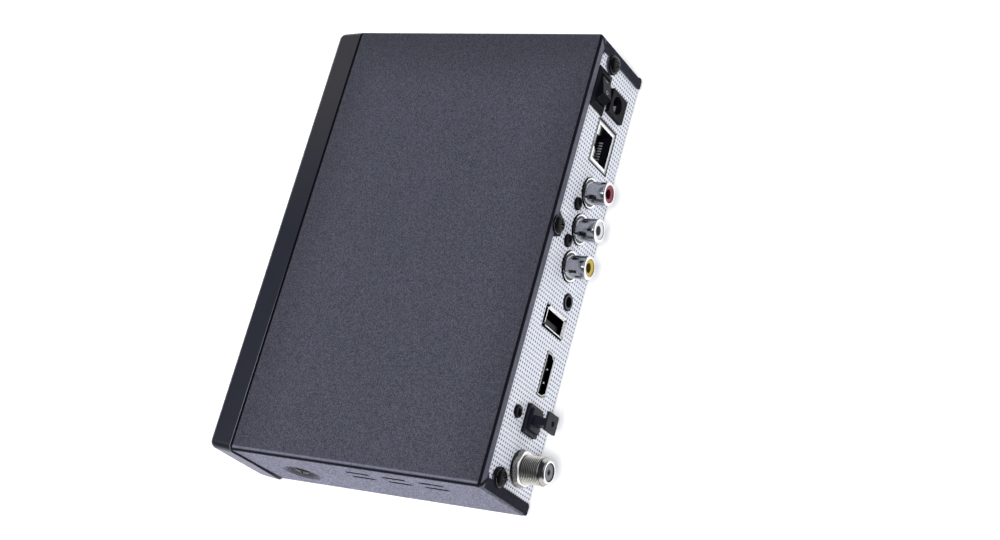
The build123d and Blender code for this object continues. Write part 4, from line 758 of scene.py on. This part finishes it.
put(tin_screen, "Roughness", span(_rub, 0.3, 0.7, 0.18, 0.32))
dress(tin_screen, "video_socket_shell", "usb_shell")

tongue, _at, _x, _y, *_ = begin("usb_tongue", Roughness=0.4, IOR=1.5, Specular_IOR_Level=0.2)
# Painted shade: the tongue is black but for the lit band at its front end.
_lit_part = all_of(span(_y, 47.7, 48.1), span(_x, 17.8, 18.0))
_tone = tint(cloud(_at, 0.8, 3.0), (0.10, 0.085, 0.13), (0.16, 0.14, 0.19))
put(tongue, "Base Color", tint(_lit_part, (0.004, 0.004, 0.006), _tone))
relief(tongue, cloud(_at, 0.3), 0.008)
dress(tongue, "usb_insulator")

# ---------------------------------------------------------------- aerial socket
# Turned brass, nickel-plated: a fine thread with a plain shoulder and a narrow end ring, held by a
# washer and a chamfered hexagon nut. A grey plastic core carries the centre contact.
barrel_low, barrel_high = (np.array(corner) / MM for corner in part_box("aerial_socket"))
washer_low, washer_high = (np.array(corner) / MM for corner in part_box("aerial_washer"))
nut_low, nut_high = (np.array(corner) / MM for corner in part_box("aerial_nut"))
aerial_x, aerial_z = (barrel_low[0] + barrel_high[0]) / 2, (barrel_low[2] + barrel_high[2]) / 2
barrel_radius = (barrel_high[0] - barrel_low[0]) / 2
thread_depth, thread_pitch, thread_end = 0.36, 0.65, barrel_high[1] - 2.2
nut_flats, nut_slack, washer_bore = 11.0, 0.05, 4.45

nickel, _at, _x, _y, _z = begin("nickel", Metallic=1.0, Roughness=0.2)
_rub = cloud(_at, 1.6, 2.0)
_far = off_axis(_x, _z, aerial_x, aerial_z)
_tone = tint(_rub, (0.66, 0.63, 0.58), (0.84, 0.82, 0.78))
# Painted shade in the roots of the thread.
_groove_shade = all_of(fall(_far, barrel_radius - thread_depth, barrel_radius - 0.08),
                 band(_y, nut_high[1] - 0.1, nut_high[1], thread_end, thread_end + 0.1))
_tone = tint(_groove_shade, _tone, (0.045, 0.04, 0.036))
# Painted light on the turned end: a dark band past the thread, a darker grey shoulder and nose, and
# a white highlight on the end ring.
_tone = tint(band(_y, thread_end + 0.25, thread_end + 0.35, thread_end + 0.5, thread_end + 0.6),
             _tone, (0.10, 0.095, 0.09))
_tone = tint(band(_y, thread_end + 0.55, thread_end + 0.65, barrel_high[1] - 0.6,
                  barrel_high[1] - 0.5), _tone, (0.46, 0.45, 0.43))
_tone = tint(span(_y, barrel_high[1] - 0.14, barrel_high[1] - 0.06), _tone, (0.97, 0.97, 0.96))
# Painted light on the nut: grey flats and a white highlight towards its front; painted shade round
# the washer's outer edge.
_flats = all_of(span(_far, 5.2, 5.3), span(_y, nut_low[1], nut_low[1] + 0.05))
_tone = tint(_flats, _tone,
             tint(span(_y, nut_high[1] - 0.42, nut_high[1] - 0.30), (0.36, 0.35, 0.34),
                  (0.95, 0.94, 0.92)))
_tone = tint(all_of(span(_far, 5.95, 6.05), fall(_y, nut_low[1], nut_low[1] + 0.05)), _tone,
             (0.06, 0.06, 0.06))
put(nickel, "Base Color", _tone)
_threaded = band(_y, nut_high[1] - 0.1, nut_high[1], thread_end, thread_end + 0.3)
put(nickel, "Roughness",
    maths("ADD", span(_rub, 0.3, 0.7, 0.16, 0.26), maths("MULTIPLY", _threaded, 0.14)))


def threaded_barrel(crest, root, pitch, start, finish_at, end, count=120, rows=200):
    """A tube whose outer radius follows a helix: root plus the thread's height times a rounded
    tooth of (depth / pitch - angle / one turn), which turns into a plain shoulder at its outer end.
    Then come end ring, mouth and bore."""
    angle = np.linspace(0, 2 * np.pi, count, endpoint=False)[:, None]
    depth = np.linspace(start, finish_at, rows)
    turn = (depth - start) / pitch - angle / (2 * np.pi)
    tooth = np.abs((turn % 1.0) * 2 - 1)
    tooth = 0.5 - 0.5 * np.cos(np.pi * tooth)
    fade = np.clip((finish_at - depth) / 0.5, 0, 1)
    radius = root + (crest - root) * np.maximum(tooth * fade, 1 - fade)
    before = [(3.4, barrel_low[1]), (root, barrel_low[1]), (root, start)]
    nose = 3.8
    after = [(crest, finish_at + 0.25), (crest - 0.10, finish_at + 0.35), (nose + 0.25, end - 0.85),
             (nose + 0.06, end - 0.72), (nose, end - 0.62), (nose, end - 0.22),
             (nose - 0.06, end - 0.08), (nose - 0.20, end), (3.25, end), (3.12, end - 0.05),
             (3.1, end - 0.4), (3.4, end - 0.4)]
    grid_r = np.concatenate([np.tile([p[0] for p in before], (count, 1)), radius,
                             np.tile([p[0] for p in after], (count, 1))], axis=1)
    grid_y = np.concatenate([[p[1] for p in before], depth, [p[1] for p in after]])
    points = np.stack([grid_r * np.cos(angle), grid_r * np.sin(angle), grid_y + 0 * grid_r],
                      axis=-1)
    return sheet_grid(points, loop_u=True, loop_v=True)


barrel = threaded_barrel(barrel_radius, barrel_radius - thread_depth, thread_pitch,
                         nut_high[1] - thread_pitch, thread_end, barrel_high[1])
piece("aerial_barrel", [aimed(barrel, (aerial_x, 0, aerial_z), (0, 1, 0))], nickel, "case",
      ["aerial_socket"], crease=50)


def hexagon_nut(flats, thick, bore, count=360, rows=61):
    """Radius round a hexagon, flats / 2 / cos(angle from the nearest flat's middle), cut near
    both faces by a cone that grows 1.73 times its distance from the face; inside, a plain bore."""
    angle = np.linspace(0, 2 * np.pi, count, endpoint=False)[:, None]
    height = np.linspace(0, thick, rows)
    from_flat = (angle + np.pi / 6) % (np.pi / 3) - np.pi / 6
    hexagon = flats / 2 / np.cos(from_flat)
    cone = flats / 2 * 0.955 + 1.73 * np.minimum(height, thick - height)
    outer = np.minimum(hexagon + 0 * height, cone)
    grid_r = np.concatenate([0 * angle + bore, outer, 0 * angle + bore], axis=1)
    grid_h = np.concatenate([[0], height, [thick]])
    points = np.stack([grid_r * np.cos(angle), grid_r * np.sin(angle), grid_h + 0 * grid_r],
                      axis=-1)
    return sheet_grid(points, loop_u=True, loop_v=True)


nut = hexagon_nut(nut_flats, nut_high[1] - nut_low[1], barrel_radius - thread_depth - nut_slack)
piece("aerial_nut_ring", [aimed(nut, (aerial_x, nut_low[1], aerial_z), (0, 1, 0))], nickel, "case",
      ["aerial_nut"], crease=28)
_wide = (washer_high[0] - washer_low[0]) / 2
ring = turned([(washer_bore, washer_low[1]), (_wide - 0.1, washer_low[1]),
               (_wide, washer_low[1] + 0.1), (_wide, washer_high[1] - 0.12),
               (_wide - 0.12, washer_high[1]), (_wide - 0.5, washer_high[1]),
               (_wide - 0.6, washer_high[1] - 0.08), (washer_bore, washer_high[1] - 0.08)], 96,
              closed=True)
piece("aerial_washer_ring", [aimed(ring, (aerial_x, 0, aerial_z), (0, 1, 0))], nickel, "case",
      ["aerial_washer"])

core_grey, _at, _x, _, _z = begin("grey_insulator", Roughness=0.5, IOR=1.5)
_far = off_axis(_x, _z, aerial_x, aerial_z)
_tone = tint(cloud(_at, 0.8, 3.0), (0.17, 0.175, 0.19), (0.25, 0.255, 0.27))
# Painted shade in the hole round the centre contact and round the core's outer edge.
_tone = tint(fall(_far, 0.95, 1.25), _tone, (0.012, 0.010, 0.010))
put(core_grey, "Base Color", tint(span(_far, 2.65, 2.8), _tone, (0.008, 0.008, 0.009)))
relief(core_grey, cloud(_at, 0.3, 2.0), 0.01)
dress(core_grey, "aerial_insulator")

brass = mottled("brass_contact", (0.8, 3.0, (0.68, 0.50, 0.22), (0.86, 0.70, 0.36)),
                gloss=(0.5, 2.0, 0.2, 0.34), Metallic=1.0, Roughness=0.25)
dress(brass, "aerial_contact", "switch_terminals")

# ---------------------------------------------------------------- phono sockets
# A drawn and chromed sleeve, slotted so that it springs, with a dished base ring; inside it a core
# coloured red, white or yellow, painted dark as shade below its end and black in its bore.
chrome, _at, _x, _y, _z = begin("chrome_shell", Metallic=1.0, Roughness=0.18)
_low, _high = (np.array(corner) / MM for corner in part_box("phono_sleeve_red"))
_ends = [[corner.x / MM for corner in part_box("phono_sleeve_" + colour)]
         for colour in ("red", "white", "yellow")]
_far = [off_axis(_x, _z, (left + right) / 2, (_low[2] + _high[2]) / 2) for left, right in _ends]
_far = reduce(lambda a, b: maths("MINIMUM", a, b), _far)
_rub = cloud(_at, 1.6, 2.0)
# Painted light on the base ring: a dark band next to the barrel, a white highlight outside it and a
# dark line at its outer edge.
_foot = fall(_y, _low[1] + 0.7, _low[1] + 0.8)
_tone = tint(_rub, (0.42, 0.43, 0.46), (0.54, 0.55, 0.58))
_tone = tint(all_of(_foot, span(_far, 4.60, 4.70)),
             tint(all_of(_foot, span(_far, 4.0, 4.1)), _tone, (0.05, 0.05, 0.055)),
             (0.96, 0.96, 0.97))
_tone = tint(all_of(_foot, span(_far, 5.20, 5.26)), _tone, (0.05, 0.05, 0.06))
# Painted highlight: a white rim at the sleeve's end.
put(chrome, "Base Color",
    tint(span(_y, _high[1] - 0.62, _high[1] - 0.5), _tone, (0.97, 0.97, 0.98)))
put(chrome, "Roughness", span(_rub, 0.3, 0.7, 0.14, 0.24))


def slotted_sleeve(base, end, barrel, wide, lip, count=144):
    """A profile turned round the axis: dished base ring, plain barrel, rounded tip and
    turned-in lip. The quads inside the four spring slots and the ring's notch are left out."""
    profile = [(wide, base), (wide, base + 0.35), (wide - 0.12, base + 0.50),
               (wide - 0.35, base + 0.50), (wide - 0.6, base + 0.26), (barrel + 0.28, base + 0.20),
               (barrel + 0.08, base + 0.30), (barrel, base + 0.55)]
    marks = [base + 0.55, base + 1.45, base + 1.65, base + 4.35, base + 4.55, end - 0.4]
    profile += [(barrel, y) for y in marks[1:]]
    profile += [(barrel - 0.05, end - 0.18), (barrel - 0.18, end - 0.05), (barrel - 0.35, end),
                (lip, end), (lip, end - 0.35)]
    profile = np.array(profile)
    angle = np.linspace(0, 2 * np.pi, count, endpoint=False)[:, None]
    points = np.stack([profile[:, 0] * np.cos(angle), profile[:, 0] * np.sin(angle),
                       profile[:, 1] + 0 * angle], axis=-1)
    flat, quads = sheet_grid(points, loop_u=True)
    centre = flat[quads].mean(axis=1)
    around = np.degrees(np.arctan2(centre[:, 1], centre[:, 0]))
    far, above = np.hypot(centre[:, 0], centre[:, 1]), centre[:, 2] - base
    off_slot = np.abs((around + 45) % 90 - 45)
    slots = (off_slot < 6.8) & (above > 1.6) & (above < 4.4) & (far > barrel - 0.1)
    notch = (np.abs(around + 90) < 6) & (above < 0.52) & (far > 4.6)
    return flat, quads[~(slots | notch)]


def spun(shape, degrees_round):
    """Turns a shape about its own Z axis."""
    c, s = np.cos(np.radians(degrees_round)), np.sin(np.radians(degrees_round))
    return shape[0] @ np.array([[c, s, 0], [-s, c, 0], [0, 0, 1]]), shape[1]


sleeve_radii = (3.95, 5.3, 3.1)   # barrel, base ring, turned-in lip
sleeve_wall = 0.33
for colour, pale, deep in (("red", (0.30, 0.022, 0.045), (0.21, 0.014, 0.030)),
                           ("white", (0.86, 0.86, 0.90), (0.78, 0.79, 0.83)),
                           ("yellow", (0.66, 0.50, 0.09), (0.55, 0.40, 0.06))):
    low, high = (np.array(corner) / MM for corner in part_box("phono_sleeve_" + colour))
    middle = ((low[0] + high[0]) / 2, 0, (low[2] + high[2]) / 2)
    shape = spun(slotted_sleeve(low[1], high[1], *sleeve_radii), 45)
    made = piece("phono_shell_" + colour, [aimed(shape, middle, (0, 1, 0))], chrome, "case",
                 ["phono_sleeve_" + colour], crease=40, closed=False)
    wall = made.modifiers.new("sheet", "SOLIDIFY")
    wall.thickness, wall.offset = sleeve_wall * MM, -1.0
    core, _at, _x, _y, _z = begin(colour + "_plastic", Roughness=0.3, IOR=1.5)
    # Painted shade: below its lit end the core is a dark copy of its colour, black in its bore.
    _rim = span(_y, high[1] - 0.66, high[1] - 0.54)
    _dye = tint(cloud(_at, 0.8, 3.0), deep, pale)
    _core_shade = tuple(0.08 * part + 0.004 for part in pale)
    _core_shade = tint(span(off_axis(_x, _z, middle[0], middle[2]), 2.0, 2.3), _core_shade,
                 (0.003, 0.003, 0.003))
    put(core, "Base Color", tint(_rim, _core_shade, _dye))
    put(core, "Roughness", span(cloud(_at, 0.5), 0.3, 0.7, 0.24, 0.38))
    wide, deep_end = 3.55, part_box("phono_insert_" + colour)[0].y / MM
    end, bore, collar = high[1], 1.6, 3.05
    funnel = turned([(bore, deep_end), (wide, deep_end), (wide, end - 0.4), (collar, end - 0.4),
                     (collar, end - 0.26), (2.9, end - 0.22), (1.85, end - 0.42),
                     (1.70, end - 0.50), (bore, end - 0.9)], 96, closed=True)
    piece("phono_core_" + colour, [aimed(funnel, middle, (0, 1, 0))], core, "case",
          ["phono_insert_" + colour], crease=40)

# ---------------------------------------------------------------- power switch
# A snap-in rocker switch: moulded frame, glossy rocker with a printed bar and ring, blade terminals
# and two red wires down to the board.
gloss = mottled("gloss_black_plastic", (3.0, 3.0, (0.003, 0.004, 0.007), (0.006, 0.007, 0.011)),
                gloss=(1.0, 3.0, 0.12, 0.22), grain=(1.5, 2.0, 0.004), IOR=1.5,
                Specular_IOR_Level=0.03)
dress(gloss, "power_rocker")

hinge = next(joint for joint in frame["joints"] if joint["name"] == "power_rocker_tilt")
pivot = np.array(hinge["pos_m"]) / MM
tilt = np.radians(16.0)
top_rise = 3.8   # rocker's top above its pivot
along = np.array([np.cos(tilt), np.sin(tilt), 0])
out = np.array([-np.sin(tilt), np.cos(tilt), 0])


def on_rocker(flat):
    """Carries a flat shape (u along the rocker, v up the case, w out of it) to the rocker's top."""
    points, quads = flat
    u, v, w = points[:, :1], points[:, 1:2], points[:, 2:]
    return pivot + u * along + v * np.array([0, 0, 1.0]) + (top_rise + w) * out, quads


def slab(u0, u1, v0, v1, thick=0.04):
    """A thin raised bar with closed sides: a loop of four corners swept through its thickness."""
    loop = np.array([(0, 0), (u1 - u0, 0), (u1 - u0, v1 - v0), (0, v1 - v0)]) + (u0, v0)
    middle = loop.mean(axis=0)
    rings = [np.c_[loop * 0 + middle, [-0.02] * 4], np.c_[loop, [-0.02] * 4],
             np.c_[loop, [thick] * 4], np.c_[loop * 0 + middle, [thick] * 4]]
    return sheet_grid(np.stack(rings, axis=1), loop_u=True)


print_white = mottled("white_print", (0.3, 3.0, (0.30, 0.31, 0.34), (0.38, 0.39, 0.42)),
                      Roughness=0.45, IOR=1.5)
ring_inner, ring_outer, ring_middle = 0.55, 0.75, 1.9
ring_points, ring_quads = turned([(ring_inner, -0.02), (ring_outer, -0.02), (ring_outer, 0.04),
                                  (ring_inner, 0.04)], 40, closed=True)
ring_mark = (ring_points + (ring_middle, 0, 0), ring_quads)
bar_mark = slab(-2.45, -2.2, -0.75, 0.75)
piece("switch_marks", [on_rocker(bar_mark), on_rocker(ring_mark)], print_white,
      "power_rocker")

wire_red = mottled("red_wire", (1.0, 3.0, (0.36, 0.012, 0.012), (0.50, 0.025, 0.02)),
                   grain=(0.6, 2.0, 0.01), Roughness=0.35, IOR=1.5)
dress(wire_red, "switch_wires")
